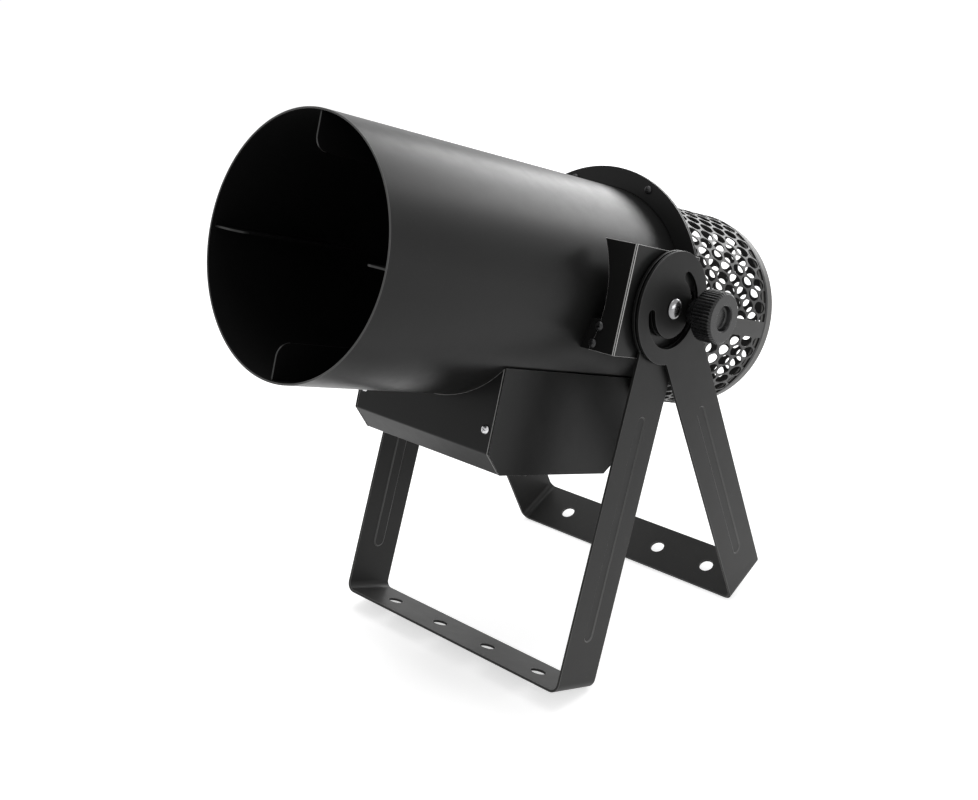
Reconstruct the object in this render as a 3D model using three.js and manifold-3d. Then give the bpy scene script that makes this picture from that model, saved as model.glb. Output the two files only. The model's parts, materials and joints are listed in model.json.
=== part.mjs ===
// Confetti blower: a barrel with an axial fan, a perforated intake cage and a control box,
// carried on two nested U-shaped yokes. Millimetres, +Z up, muzzle towards -Y.
import * as THREE from 'three';
import { mergeGeometries, mergeVertices } from 'three/addons/utils/BufferGeometryUtils.js';
import Module from 'manifold-3d';

const wasm = await Module();
wasm.setup();

// Stance
const barrel_tilt_deg = 17.55;
const front_splay_deg = 19.9;

// Clearances
const seat_gap = 0.3;
const running_gap = 0.08;
const cut_overrun = 4;

// Smoothness of round shapes
const large_sides = 40;
const medium_sides = 24;
const small_sides = 12;
const screw_sides = 8;
const hex_sides = 6;
const arc_steps = 18;
const bend_steps = 3;

// Barrel
const barrel_radius = 101.6;
const barrel_wall = 1.6;
const barrel_drop = 7.2;
const pivot_to_muzzle = 296.3;
const pivot_to_flange = 62.5;
const barrel_inner = barrel_radius - barrel_wall;

// Muzzle fins
const fin_count = 4;
const fin_setback = 4;
const fin_length = 120;
const fin_height = 28.5;
const fin_thickness = 1.5;
const fin_corner = 11;

// Flanges between barrel and cage
const flange_overhang = 18.8;
const flange_thickness = 2;
const flange_screw_edge = 7.7;
const flange_screw_count = 8;
const flange_screw_turn_deg = 22.5;
const flange_radius = barrel_radius + flange_overhang;

// Screws
const screw_radius = 2;
const screw_head_radius = 3.8;
const screw_head_height = 2.4;
const screw_tail = 3;
const screw_crown_share = 0.6;

// Intake cage
const cage_inset = 3.1;
const cage_wall = 1.2;
const cage_length = 163.5;
const cage_hole_rows = 5;
const cage_hole_columns = 20;
const cage_hole_radius = 11.5;
const cage_margin = 4;
const cage_seam_deg = 4;
const cage_radius = barrel_radius - cage_inset;

// Ring and guard that close the cage
const ring_width = 20.3;
const ring_overhang = 13;
const ring_wall = 1.2;
const ring_lip = 9;
const guard_thickness = 1.2;
const guard_hole_pitch = 26;
const guard_hole_radius = 10.6;
const guard_border = 8;
const ring_radius = cage_radius - cage_wall - seat_gap;

// Confetti screen in front of the fan
const screen_setback = 72;
const screen_band = 12;
const screen_thickness = 1.2;
const screen_hole_pitch = 34;
const screen_hole_radius = 14;
const screen_border = 10;

// Fan
const hub_radius = 30;
const hub_length = 40;
const hub_front = 28;
const hub_nose = 8;
const blade_count = 6;
const blade_tip_gap = 3;
const blade_thickness = 2.2;
const blade_root_chord = 44;
const blade_tip_chord = 58;
const blade_root_deg = 50;
const blade_tip_deg = 28;
const blade_stations = 4;
const shaft_radius = 5;
const shaft_thread = 12;
const nut_radius = 9;
const nut_height = 7;

// Fan motor and its mount
const motor_radius = 38;
const motor_length = 84;
const motor_clearance = 10;
const motor_nose_radius = 16;
const motor_nose_height = 5;
const motor_cap = 7;
const motor_bore_depth = 60;
const mount_width = 22;
const mount_wall = 3;
const mount_arm_count = 4;
const mount_foot_width = 26;

// Side brackets
const bracket_standoff = 29;
const bracket_sheet = 2;
const bracket_bend = 3;
const bracket_front = 58.5;
const bracket_rear = 37;
const bracket_half_height = 46;
const bracket_arc_gap = 10;
const bracket_foot = 60;
const bracket_face = barrel_radius + bracket_standoff;

// Lugs on the barrel that the brackets are screwed to
const lug_length = 10;
const lug_height = 26;
const lug_depth = 12;
const lug_reach = 16.4;
const lug_drop = 20;
const lug_screw_reach = 11;
const lug_screw_upper = 25.2;
const lug_screw_pitch = 15;

// Yokes
const strip_width = 52.4;
const strip_thickness = 2.5;
const strip_bend = 9;
const leg_length = 339.3;
const nest_step = 9.7;
const disc_radius = 48.5;
const slot_radius = 30.2;
const slot_width = 9.3;
const slot_half_span_deg = 116.5;
const clamp_hole_radius = 7;
const clamp_hole_pitch = 61.3;
const clamp_hole_count = 4;
const bead_width = 12;
const bead_depth = 0.9;
const front_bead_top = 94.5;
const rear_bead_top = 112;
const bead_bottom_margin = 45;
const friction_washer = 1.1;
const friction_washer_radius = 23;

// Pivot bolts
const pivot_radius = 4;
const pivot_head_radius = 9;
const pivot_head_height = 4.4;
const pivot_nut_radius = 7.5;
const pivot_nut_height = 6.5;
const pivot_tail = 10;
const dome_steps = 3;

// Clamp knobs
const knob_radius = 22.5;
const knob_length = 20.2;
const knob_ridge_count = 30;
const knob_ridge = 1.1;
const knob_dish_radius = 11;
const knob_dish_depth = 5;
const knob_chamfer = 1.8;
const knob_neck_radius = 12;
const knob_neck_length = 11;
const stud_radius = 4;
const stud_tail = 10;
const stud_grip = 13;

// Control box
const box_half_width = 80.7;
const box_front = 127.2;
const box_flange_gap = 7.9;
const box_drop = 51.2;
const box_chamfer_run = 19;
const box_chamfer_rise = 17.5;
const box_sheet = 1.5;
const box_return = 10;
const box_lip_width = 12;
const box_lip_inset = 15;
const box_screw_inset = 8.4;
const box_screw_rise = 36.6;
const box_rear = pivot_to_flange - box_flange_gap;
const box_depth = barrel_radius + box_drop;
const box_screw_depth = box_depth - box_screw_rise;
const box_side_top = Math.sqrt((barrel_radius + seat_gap) ** 2 - (box_half_width - box_sheet) ** 2);

// Electronics in the box
const board_width = 70;
const board_length = 80;
const board_thickness = 1.6;
const board_front = 30;
const board_offset = 31;
const standoff_height = 6;
const standoff_radius = 3;
const standoff_inset = 5;
const relay_width = 20;
const relay_length = 28;
const relay_height = 16;
const relay_front = 12;
const relay_offset = 12;
const transformer_width = 46;
const transformer_length = 38;
const transformer_headroom = 11.4;
const transformer_bobbin_inset = 6;
const transformer_bobbin_bulge = 9;
const transformer_offset = 38;
const transformer_front = 50;
const transformer_height = box_drop - box_sheet - seat_gap - transformer_headroom;
const capacitor_radius = 14;
const capacitor_length = 50;
const capacitor_offset = 10;
const capacitor_rear = 40;

// Controls on the left side plate
const panel_drop = 6.4;
const panel_depth = barrel_radius + panel_drop;
const inlet_from_rear = 30;
const inlet_width = 31;
const inlet_height = 26;
const inlet_bezel = 2;
const inlet_body_width = 27;
const inlet_body_height = 20;
const inlet_body_depth = 20;
const inlet_socket_width = 24;
const inlet_socket_height = 16.5;
const inlet_socket_depth = 16;
const inlet_pin_width = 4;
const inlet_pin_thickness = 2;
const inlet_pin_length = 12;
const inlet_pin_pitch = 7;
const inlet_pin_rise = 2;
const switch_from_rear = 75;
const switch_bezel_width = 17;
const switch_bezel_height = 25;
const switch_bezel_thickness = 2;
const switch_body_width = 13;
const switch_body_height = 20;
const switch_body_depth = 14;
const switch_cavity_depth = 9;
const switch_wall = 1.5;
const rocker_length = 14.6;
const rocker_rise = 3;
const rocker_root = 3;
const rocker_pin_radius = 1;
const rocker_pin_length = 1.1;
const rocker_tilt_deg = 10;
const fuse_from_rear = 110;
const fuse_flange_radius = 8.5;
const fuse_flange = 2;
const fuse_body_radius = 6.5;
const fuse_body_depth = 24;
const fuse_bore_depth = 16;
const fuse_stem_radius = 4;
const fuse_stem_length = 12;
const fuse_cap_radius = 6.8;
const fuse_cap_height = 6;
const fuse_slot_width = 1.6;
const fuse_slot_depth = 1.5;

// Cable grommet between box and barrel
const grommet_front = 32;
const grommet_hole_radius = 6;
const grommet_radius = 8;
const grommet_bore = 3;
const grommet_lip = 1.6;

// Finishes
const powder_black = new THREE.MeshStandardMaterial({ color: 0x1c1c1e, roughness: 0.6, metalness: 0.3 });
const cage_black = new THREE.MeshStandardMaterial({ color: 0x3a3a3b, roughness: 0.5, metalness: 0.5 });
const ring_grey = new THREE.MeshStandardMaterial({ color: 0x6a6866, roughness: 0.5, metalness: 0.5 });
const dark_plastic = new THREE.MeshStandardMaterial({ color: 0x101011, roughness: 0.5, metalness: 0 });
const bright_steel = new THREE.MeshStandardMaterial({ color: 0xc8c8c8, roughness: 0.2, metalness: 1 });
const black_steel = new THREE.MeshStandardMaterial({ color: 0x151515, roughness: 0.35, metalness: 0.8 });
const cast_aluminium = new THREE.MeshStandardMaterial({ color: 0x9a9c9e, roughness: 0.5, metalness: 0.9 });
const washer_fibre = new THREE.MeshStandardMaterial({ color: 0x2a2421, roughness: 0.9, metalness: 0 });
const board_green = new THREE.MeshStandardMaterial({ color: 0x1d5a34, roughness: 0.5, metalness: 0 });
const copper_winding = new THREE.MeshStandardMaterial({ color: 0x9a5a2c, roughness: 0.5, metalness: 0.6 });
const grommet_rubber = new THREE.MeshStandardMaterial({ color: 0x0c0c0c, roughness: 0.9, metalness: 0 });

const radians = THREE.MathUtils.degToRad;
const full_turn = 2 * Math.PI;
const half_turn = Math.PI;
const quarter_turn = Math.PI / 2;

// Closed solid of a geometry, for joining and cutting
function toSolid(geometry) {
  const bare = geometry.clone();
  bare.deleteAttribute('normal');
  bare.deleteAttribute('uv');
  const merged = mergeVertices(bare);
  const corners = merged.index.array;
  const kept = [];
  for (let i = 0; i < corners.length; i += 3) {
    const [a, b, c] = corners.slice(i, i + 3);
    if (a !== b && b !== c && c !== a) {
      kept.push(a, b, c);
    }
  }
  const vertProperties = new Float32Array(merged.attributes.position.array);
  const triVerts = new Uint32Array(kept);
  return new wasm.Manifold(new wasm.Mesh({ numProp: 3, vertProperties, triVerts }));
}

function toGeometry(solid) {
  const mesh = solid.getMesh();
  const geometry = new THREE.BufferGeometry();
  geometry.setAttribute('position', new THREE.BufferAttribute(mesh.vertProperties, 3));
  geometry.setIndex(new THREE.BufferAttribute(mesh.triVerts, 1));
  return geometry;
}

function join(first, ...others) {
  return toGeometry(others.reduce((sum, next) => sum.add(toSolid(next)), toSolid(first)));
}

function cut(first, ...others) {
  return toGeometry(others.reduce((sum, next) => sum.subtract(toSolid(next)), toSolid(first)));
}

function common(first, second) {
  return toGeometry(toSolid(first).intersect(toSolid(second)));
}

// Revolves [radius, y] points about the y axis; the outer side runs towards +y
function lathe(points, sides) {
  const profile = points.map(([radius, y]) => new THREE.Vector2(radius, y));
  return new THREE.LatheGeometry(profile, sides);
}

function ring(inner, outer, y0, y1, sides) {
  return lathe([[outer, y0], [outer, y1], [inner, y1], [inner, y0], [outer, y0]], sides);
}

function rod(radius, y0, y1, sides) {
  return lathe([[0, y0], [radius, y0], [radius, y1], [0, y1]], sides);
}

function block(x0, x1, y0, y1, z0, z1) {
  const geometry = new THREE.BoxGeometry(Math.abs(x1 - x0), Math.abs(y1 - y0), Math.abs(z1 - z0));
  return geometry.translate((x0 + x1) / 2, (y0 + y1) / 2, (z0 + z1) / 2);
}

function outline(points) {
  return new THREE.Shape(points.map(([u, v]) => new THREE.Vector2(u, v)));
}

function extrude(shape, length) {
  return new THREE.ExtrudeGeometry(shape, { depth: length, bevelEnabled: false, curveSegments: bend_steps });
}

// Extrudes a (y, z) outline from x0 to x1
function alongX(shape, x0, x1) {
  const turn = new THREE.Matrix4().makeBasis(
    new THREE.Vector3(0, 1, 0),
    new THREE.Vector3(0, 0, 1),
    new THREE.Vector3(1, 0, 0),
  );
  const low = Math.min(x0, x1);
  return extrude(shape, Math.abs(x1 - x0)).applyMatrix4(turn).translate(low, 0, 0);
}

// Extrudes an (x, z) outline from y0 to y1
function alongY(shape, y0, y1) {
  return extrude(shape, y1 - y0).rotateX(quarter_turn).translate(0, y1, 0);
}

// Extrudes an (x, y) outline from z0 to z1
function alongZ(shape, z0, z1) {
  return extrude(shape, z1 - z0).translate(0, 0, z0);
}

// Turns a shape made about the y axis so that its +y end points to the given side along x
function toSide(geometry, side) {
  return geometry.rotateZ(-side * quarter_turn);
}

function hexNut(radius, bore, y0, y1) {
  return cut(rod(radius, y0, y1, hex_sides), rod(bore, y0 - cut_overrun, y1 + cut_overrun, medium_sides));
}

// A pan-head screw along +y with the underside of its head at y = 0
function screw(head_radius, head_height, shank_radius, length) {
  return lathe([
    [0, -head_height],
    [head_radius * screw_crown_share, -head_height],
    [head_radius, 0],
    [shank_radius, 0],
    [shank_radius, length],
    [0, length],
  ], screw_sides);
}

// Hexagonal cutters along y, on a triangular grid inside a radius
function discHoles(pitch, hole_radius, field_radius, y0, y1) {
  const row_pitch = pitch * Math.sin(full_turn / hex_sides);
  const rows = Math.floor(field_radius / row_pitch);
  const columns = Math.floor(field_radius / pitch) + 1;
  const cutters = [];
  for (let row = -rows; row <= rows; row += 1) {
    const stagger = row % 2 === 0 ? 0 : pitch / 2;
    for (let column = -columns; column <= columns; column += 1) {
      const x = column * pitch + stagger;
      const z = row * row_pitch;
      if (Math.hypot(x, z) + hole_radius <= field_radius) {
        cutters.push(rod(hole_radius, y0, y1, hex_sides).translate(x, 0, z));
      }
    }
  }
  return mergeGeometries(cutters);
}

function barrelTube() {
  const rear = pivot_to_flange + flange_thickness;
  const tube = ring(barrel_inner, barrel_radius, -pivot_to_muzzle, rear, large_sides);
  const grommet_hole = rod(grommet_hole_radius, -cut_overrun, cut_overrun, small_sides);
  grommet_hole.rotateX(quarter_turn).translate(0, grommet_front, -barrel_radius + barrel_wall / 2);
  const holes = [grommet_hole];
  const lugs = [];
  for (const side of [-1, 1]) {
    lugs.push(lug(side));
    holes.push(...bracketScrewPlaces(side).map(({ x, z }) => {
      const hole = rod(screw_radius + seat_gap, -cut_overrun, lug_length + cut_overrun, screw_sides);
      return hole.translate(x, -bracket_front + bracket_sheet, z);
    }));
  }
  return cut(join(tube, ...lugs), ...holes);
}

// A lug welded to the barrel behind a bracket's front web
function lug(side) {
  const top = barrel_drop - lug_drop;
  const y0 = -bracket_front + bracket_sheet + seat_gap;
  const body = block(
    side * (barrel_radius - lug_depth), side * (barrel_radius + lug_reach),
    y0, y0 + lug_length, top - lug_height, top,
  );
  const core = rod(barrel_radius - barrel_wall / 2, -pivot_to_muzzle, pivot_to_flange, large_sides);
  return cut(body, core);
}

// Where the two screws of a bracket's front web sit, about the barrel axis
function bracketScrewPlaces(side) {
  const radius = barrel_radius + lug_screw_reach;
  return [0, 1].map((index) => {
    const z = barrel_drop - lug_screw_upper - index * lug_screw_pitch;
    const x = side * radius * Math.cos(Math.asin(z / radius));
    return { x, z };
  });
}

function barrelFlange() {
  const y0 = pivot_to_flange;
  const plate = ring(barrel_radius + seat_gap, flange_radius, y0, y0 + flange_thickness, large_sides);
  return cut(plate, flangeHoles());
}

function flangeScrewPlace(index) {
  const angle = radians(flange_screw_turn_deg) + (index * full_turn) / flange_screw_count;
  const radius = flange_radius - flange_screw_edge;
  return { x: radius * Math.cos(angle), z: radius * Math.sin(angle) };
}

function flangeHoles() {
  const holes = [];
  for (let index = 0; index < flange_screw_count; index += 1) {
    const { x, z } = flangeScrewPlace(index);
    const y1 = pivot_to_flange + 2 * flange_thickness + cut_overrun;
    const hole = rod(screw_radius + seat_gap, pivot_to_flange - cut_overrun, y1, screw_sides);
    holes.push(hole.translate(x, 0, z));
  }
  return mergeGeometries(holes);
}

function muzzleFin() {
  const outer = barrel_inner - seat_gap;
  const inner = outer - fin_height;
  const y0 = -pivot_to_muzzle + fin_setback;
  const shape = new THREE.Shape();
  shape.moveTo(outer, y0);
  shape.lineTo(outer, y0 + fin_length);
  shape.lineTo(inner, y0 + fin_length);
  shape.lineTo(inner, y0 + fin_corner);
  shape.absarc(inner + fin_corner, y0 + fin_corner, fin_corner, half_turn, half_turn + quarter_turn);
  shape.lineTo(outer, y0);
  return alongZ(shape, -fin_thickness / 2, fin_thickness / 2);
}

function intakeCage() {
  const y0 = pivot_to_flange + flange_thickness + seat_gap;
  const y1 = y0 + cage_length;
  const inner = cage_radius - cage_wall;
  const shell = ring(inner, cage_radius, y0, y1, large_sides);
  const holes = cageHoles(y0 + flange_thickness + cage_margin, cageRingFront() - cage_margin);
  const plate = ring(inner, flange_radius, y0, y0 + flange_thickness, large_sides);
  return join(cut(shell, holes), cut(plate, flangeHoles()));
}

// Staggered rows of holes round the cage, with one plain column at the seam
function cageHoles(y0, y1) {
  const row_pitch = (y1 - y0) / cage_hole_rows;
  const step = full_turn / cage_hole_columns;
  const cutters = [];
  for (let row = 0; row < cage_hole_rows; row += 1) {
    const stagger = row % 2 === 0 ? 0 : step / 2;
    for (let column = 1; column < cage_hole_columns; column += 1) {
      const angle = column * step + stagger - radians(cage_seam_deg);
      const cutter = rod(cage_hole_radius, cage_radius - cut_overrun, cage_radius + cut_overrun, hex_sides);
      cutter.rotateY(half_turn / hex_sides);
      cutters.push(toSide(cutter, 1).translate(0, y0 + row_pitch / 2 + row * row_pitch, 0).rotateY(-angle));
    }
  }
  return mergeGeometries(cutters);
}

function cageRingFront() {
  return cageRingRear() - ring_width;
}

function cageRingRear() {
  const cage_rear = pivot_to_flange + flange_thickness + seat_gap + cage_length;
  return cage_rear + ring_overhang;
}

// The ring fits inside the cage's rear edge and carries the guard against its lip
function cageRearRing() {
  const inner = ring_radius - ring_wall;
  const y0 = cageRingFront();
  const y1 = cageRingRear();
  return lathe([
    [ring_radius, y0],
    [ring_radius, y1],
    [inner - ring_lip, y1],
    [inner - ring_lip, y1 - ring_wall],
    [inner, y1 - ring_wall],
    [inner, y0],
    [ring_radius, y0],
  ], large_sides);
}

function rearGuard() {
  const y1 = cageRingRear() - ring_wall - seat_gap;
  const y0 = y1 - guard_thickness;
  const outer = ring_radius - ring_wall - seat_gap;
  const field = outer - guard_border;
  const holes = discHoles(guard_hole_pitch, guard_hole_radius, field, y0 - cut_overrun, y1 + cut_overrun);
  return cut(rod(outer, y0, y1, large_sides), holes);
}

function confettiScreen() {
  const outer = barrel_inner - seat_gap;
  const y0 = -screen_setback;
  const dish = lathe([
    [0, y0],
    [outer, y0],
    [outer, y0 + screen_band],
    [outer - screen_thickness, y0 + screen_band],
    [outer - screen_thickness, y0 + screen_thickness],
    [0, y0 + screen_thickness],
  ], large_sides);
  const field = outer - screen_border;
  const y1 = y0 + screen_thickness + cut_overrun;
  return cut(dish, discHoles(screen_hole_pitch, screen_hole_radius, field, y0 - cut_overrun, y1));
}

// A twisted blade along +x, lofted through stations from the hub to past its tip
function blade() {
  const root = hub_radius - blade_thickness;
  const tip = barrel_inner;
  const points = [];
  for (let station = 0; station <= blade_stations; station += 1) {
    const t = station / blade_stations;
    const radius = THREE.MathUtils.lerp(root, tip, t);
    const chord = THREE.MathUtils.lerp(blade_root_chord, blade_tip_chord, t);
    const pitch = radians(THREE.MathUtils.lerp(blade_root_deg, blade_tip_deg, t));
    for (const [along, across] of [[-1, -1], [1, -1], [1, 1], [-1, 1]]) {
      const u = (along * chord) / 2;
      const v = (across * blade_thickness) / 2;
      const y = u * Math.sin(pitch) + v * Math.cos(pitch);
      const z = u * Math.cos(pitch) - v * Math.sin(pitch);
      points.push(radius, y, z);
    }
  }
  const faces = [0, 1, 2, 0, 2, 3];
  for (let station = 0; station < blade_stations; station += 1) {
    for (let side = 0; side < 4; side += 1) {
      const a = station * 4 + side;
      const b = station * 4 + ((side + 1) % 4);
      faces.push(a, a + 4, b, b, a + 4, b + 4);
    }
  }
  const last = blade_stations * 4;
  faces.push(last, last + 2, last + 1, last, last + 3, last + 2);
  const geometry = new THREE.BufferGeometry();
  geometry.setAttribute('position', new THREE.Float32BufferAttribute(points, 3));
  geometry.setIndex(faces);
  return geometry;
}

function impeller() {
  const y0 = -hub_front;
  const y1 = y0 + hub_length;
  const bore = shaft_radius + seat_gap;
  const hub = lathe([
    [bore, y0],
    [hub_radius - hub_nose, y0],
    [hub_radius, y0 + hub_nose],
    [hub_radius, y1],
    [bore, y1],
    [bore, y0],
  ], medium_sides);
  const blades = [];
  for (let index = 0; index < blade_count; index += 1) {
    const turned = blade().rotateY((index * full_turn) / blade_count);
    blades.push(turned.translate(0, (y0 + y1) / 2, 0));
  }
  const swept = rod(barrel_inner - blade_tip_gap, y0, y1, large_sides);
  return join(hub, common(join(...blades), swept));
}

function motorFront() {
  return hub_length - hub_front + motor_clearance;
}

function motorShaft() {
  const rear = motorFront() + motor_bore_depth - seat_gap;
  return rod(shaft_radius, -hub_front - shaft_thread, rear, medium_sides);
}

function impellerNut() {
  const y1 = -hub_front - seat_gap;
  return hexNut(nut_radius, shaft_radius + seat_gap, y1 - nut_height, y1);
}

function fanMotor() {
  const y0 = motorFront();
  const y1 = y0 + motor_length;
  const bore = shaft_radius + running_gap;
  return lathe([
    [0, y0 + motor_bore_depth],
    [bore, y0 + motor_bore_depth],
    [bore, y0],
    [motor_nose_radius, y0],
    [motor_nose_radius, y0 + motor_nose_height],
    [motor_radius - motor_cap, y0 + motor_nose_height],
    [motor_radius, y0 + motor_nose_height + motor_cap],
    [motor_radius, y1 - motor_cap],
    [motor_radius - motor_cap, y1],
    [0, y1],
  ], medium_sides);
}

function motorMount() {
  const y0 = motorFront() + motor_nose_height + motor_cap;
  const y1 = y0 + mount_width;
  const inner = motor_radius + seat_gap;
  const outer = inner + mount_wall;
  const feet = ring(barrel_inner - mount_wall, barrel_inner - seat_gap, y0, y1, large_sides);
  let frame = ring(inner, outer, y0, y1, medium_sides);
  for (let index = 0; index < mount_arm_count; index += 1) {
    const angle = half_turn / mount_arm_count + (index * full_turn) / mount_arm_count;
    const thin = mount_wall / 2;
    const arm = block(outer - mount_wall / 2, barrel_inner - mount_wall / 2, y0, y1, -thin, thin);
    const window = block(outer, barrel_radius, y0, y1, -mount_foot_width / 2, mount_foot_width / 2);
    const foot = common(feet, window.rotateY(angle));
    frame = join(frame, arm.rotateY(angle), foot);
  }
  return frame;
}

// A hat-shaped bracket, open at top and bottom, that carries a pivot and a clamp stud
function sideBracket(side) {
  const hat = new THREE.Shape();
  const face = side * bracket_face;
  const foot = side * bracket_foot;
  const bend = side * bracket_bend;
  const skin = side * bracket_sheet;
  const front = -bracket_front;
  const rear = bracket_rear;
  hat.moveTo(foot, front);
  hat.lineTo(face - bend, front);
  hat.quadraticCurveTo(face, front, face, front + bracket_bend);
  hat.lineTo(face, rear - bracket_bend);
  hat.quadraticCurveTo(face, rear, face - bend, rear);
  hat.lineTo(foot, rear);
  hat.lineTo(foot, rear - bracket_sheet);
  hat.lineTo(face - skin, rear - bracket_sheet);
  hat.lineTo(face - skin, front + bracket_sheet);
  hat.lineTo(foot, front + bracket_sheet);
  hat.closePath();
  const body = alongZ(hat, -bracket_half_height, bracket_half_height);
  const nut = hexNut(pivot_nut_radius, stud_radius + running_gap, 0, pivot_nut_height + bracket_sheet / 2);
  toSide(nut, -side).translate(side * (bracket_face - bracket_sheet / 2), slot_radius, 0);
  const arc_radius = barrel_radius + bracket_arc_gap;
  const y1 = front + bracket_sheet + cut_overrun;
  const arc = rod(arc_radius, front - cut_overrun, y1, large_sides).translate(0, 0, -barrel_drop);
  const drum = rod(barrel_radius + seat_gap, front - cut_overrun, rear + cut_overrun, large_sides);
  drum.translate(0, 0, -barrel_drop);
  const notches = bracketScrewPlaces(side).flatMap(({ x, z }) => {
    const radius = screw_radius + seat_gap;
    const end = rod(radius, front - cut_overrun, y1, screw_sides);
    const mouth = block(0, -side * lug_screw_reach, front - cut_overrun, y1, -radius, radius);
    return [end, mouth].map((cutter) => cutter.translate(x, 0, z - barrel_drop));
  });
  const through = [
    sideHole(side, pivot_radius + running_gap, 0),
    sideHole(side, stud_radius + running_gap, slot_radius),
  ];
  return cut(join(body, nut), arc, drum, ...notches, ...through);
}

// A round cutter through a bracket's outer plate
function sideHole(side, radius, y) {
  const depth = pivot_nut_height + bracket_sheet + cut_overrun;
  const cutter = rod(radius, -depth, cut_overrun, medium_sides);
  return toSide(cutter, side).translate(side * bracket_face, y, 0);
}

// Outer faces of the two nested strips, measured from the middle plane
const front_yoke_face = bracket_face + 2 * seat_gap + friction_washer + strip_thickness;
const rear_yoke_face = front_yoke_face + 2 * seat_gap + friction_washer + strip_thickness;

// A U-shaped yoke hanging from its pivots, with a slotted disc at each end
function yoke(face, length, bead_top) {
  const shape = new THREE.Shape();
  const inner = strip_bend - strip_thickness;
  shape.moveTo(-face, 0);
  shape.lineTo(-face, strip_bend - length);
  shape.absarc(-face + strip_bend, strip_bend - length, strip_bend, half_turn, half_turn + quarter_turn);
  shape.lineTo(face - strip_bend, -length);
  shape.absarc(face - strip_bend, strip_bend - length, strip_bend, -quarter_turn, 0);
  shape.lineTo(face, 0);
  shape.lineTo(face - strip_thickness, 0);
  shape.lineTo(face - strip_thickness, strip_bend - length);
  shape.absarc(face - strip_bend, strip_bend - length, inner, 0, -quarter_turn, true);
  shape.lineTo(strip_bend - face, strip_thickness - length);
  shape.absarc(strip_bend - face, strip_bend - length, inner, -quarter_turn, -half_turn, true);
  shape.lineTo(strip_thickness - face, 0);
  shape.closePath();
  const pieces = [alongY(shape, -strip_width / 2, strip_width / 2)];
  const cutters = [alongX(slotOutline(), -face - cut_overrun, face + cut_overrun)];
  for (const side of [-1, 1]) {
    const skin = side * (face - strip_thickness);
    const plate = rod(disc_radius, 0, strip_thickness, large_sides);
    pieces.push(toSide(plate, side).translate(skin, 0, 0));
    const bore = rod(pivot_radius + running_gap, -cut_overrun, strip_thickness + cut_overrun, medium_sides);
    cutters.push(toSide(bore, side).translate(skin, 0, 0));
    const rib = beadOutline(length, bead_top, bead_width);
    pieces.push(alongX(rib, skin - side * bead_depth, skin + side * bead_depth));
    const groove = beadOutline(length, bead_top, bead_width - 2 * bead_depth);
    cutters.push(alongX(groove, side * (face - bead_depth), side * (face + cut_overrun)));
  }
  for (let index = 0; index < clamp_hole_count; index += 1) {
    const x = (index - (clamp_hole_count - 1) / 2) * clamp_hole_pitch;
    const hole = rod(clamp_hole_radius, -cut_overrun, strip_thickness + cut_overrun, small_sides);
    cutters.push(hole.rotateX(quarter_turn).translate(x, 0, -length));
  }
  return cut(join(...pieces), ...cutters);
}

// Points on a circle from one angle to another
function arcPoints(u, v, radius, start, end, steps) {
  const points = [];
  for (let step = 0; step <= steps; step += 1) {
    const angle = start + ((end - start) * step) / steps;
    points.push([u + radius * Math.cos(angle), v + radius * Math.sin(angle)]);
  }
  return points;
}

// The curved slot that the clamp stud runs in, round the leg's side of the disc
function slotOutline() {
  const half = slot_width / 2;
  const start = -quarter_turn - radians(slot_half_span_deg);
  const end = -quarter_turn + radians(slot_half_span_deg);
  const cap = (angle, turn) => {
    const u = slot_radius * Math.cos(angle);
    const v = slot_radius * Math.sin(angle);
    return arcPoints(u, v, half, angle + turn, angle + turn + half_turn, 2 * bend_steps).slice(1, -1);
  };
  return outline([
    ...arcPoints(0, 0, slot_radius + half, start, end, arc_steps),
    ...cap(end, 0),
    ...arcPoints(0, 0, slot_radius - half, end, start, arc_steps),
    ...cap(start, half_turn),
  ]);
}

function beadOutline(length, bead_top, width) {
  const half = width / 2;
  const top = -bead_top - half;
  const bottom = -(length - bead_bottom_margin) + half;
  const shape = new THREE.Shape();
  shape.absarc(0, top, half, 0, half_turn);
  shape.absarc(0, bottom, half, half_turn, 2 * half_turn);
  shape.closePath();
  return shape;
}

function frictionWasher(side, inner_face) {
  const washer = ring(
    pivot_radius + seat_gap, friction_washer_radius,
    inner_face + seat_gap, inner_face + seat_gap + friction_washer, small_sides,
  );
  return toSide(washer, side);
}

// A dome-head bolt through both discs and the bracket
function pivotBolt(side) {
  const seat = rear_yoke_face + seat_gap;
  const inner_end = bracket_face - bracket_sheet - pivot_tail;
  const points = [[0, inner_end], [pivot_radius, inner_end], [pivot_radius, seat], [pivot_head_radius, seat]];
  for (let step = 1; step <= dome_steps; step += 1) {
    const angle = (step / dome_steps) * quarter_turn;
    points.push([pivot_head_radius * Math.cos(angle), seat + pivot_head_height * Math.sin(angle)]);
  }
  points[points.length - 1][0] = 0;
  return toSide(lathe(points, medium_sides), side);
}

function pivotNut(side) {
  const y1 = bracket_face - bracket_sheet - seat_gap;
  return toSide(hexNut(pivot_nut_radius, pivot_radius + seat_gap, y1 - pivot_nut_height, y1), side);
}

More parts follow.
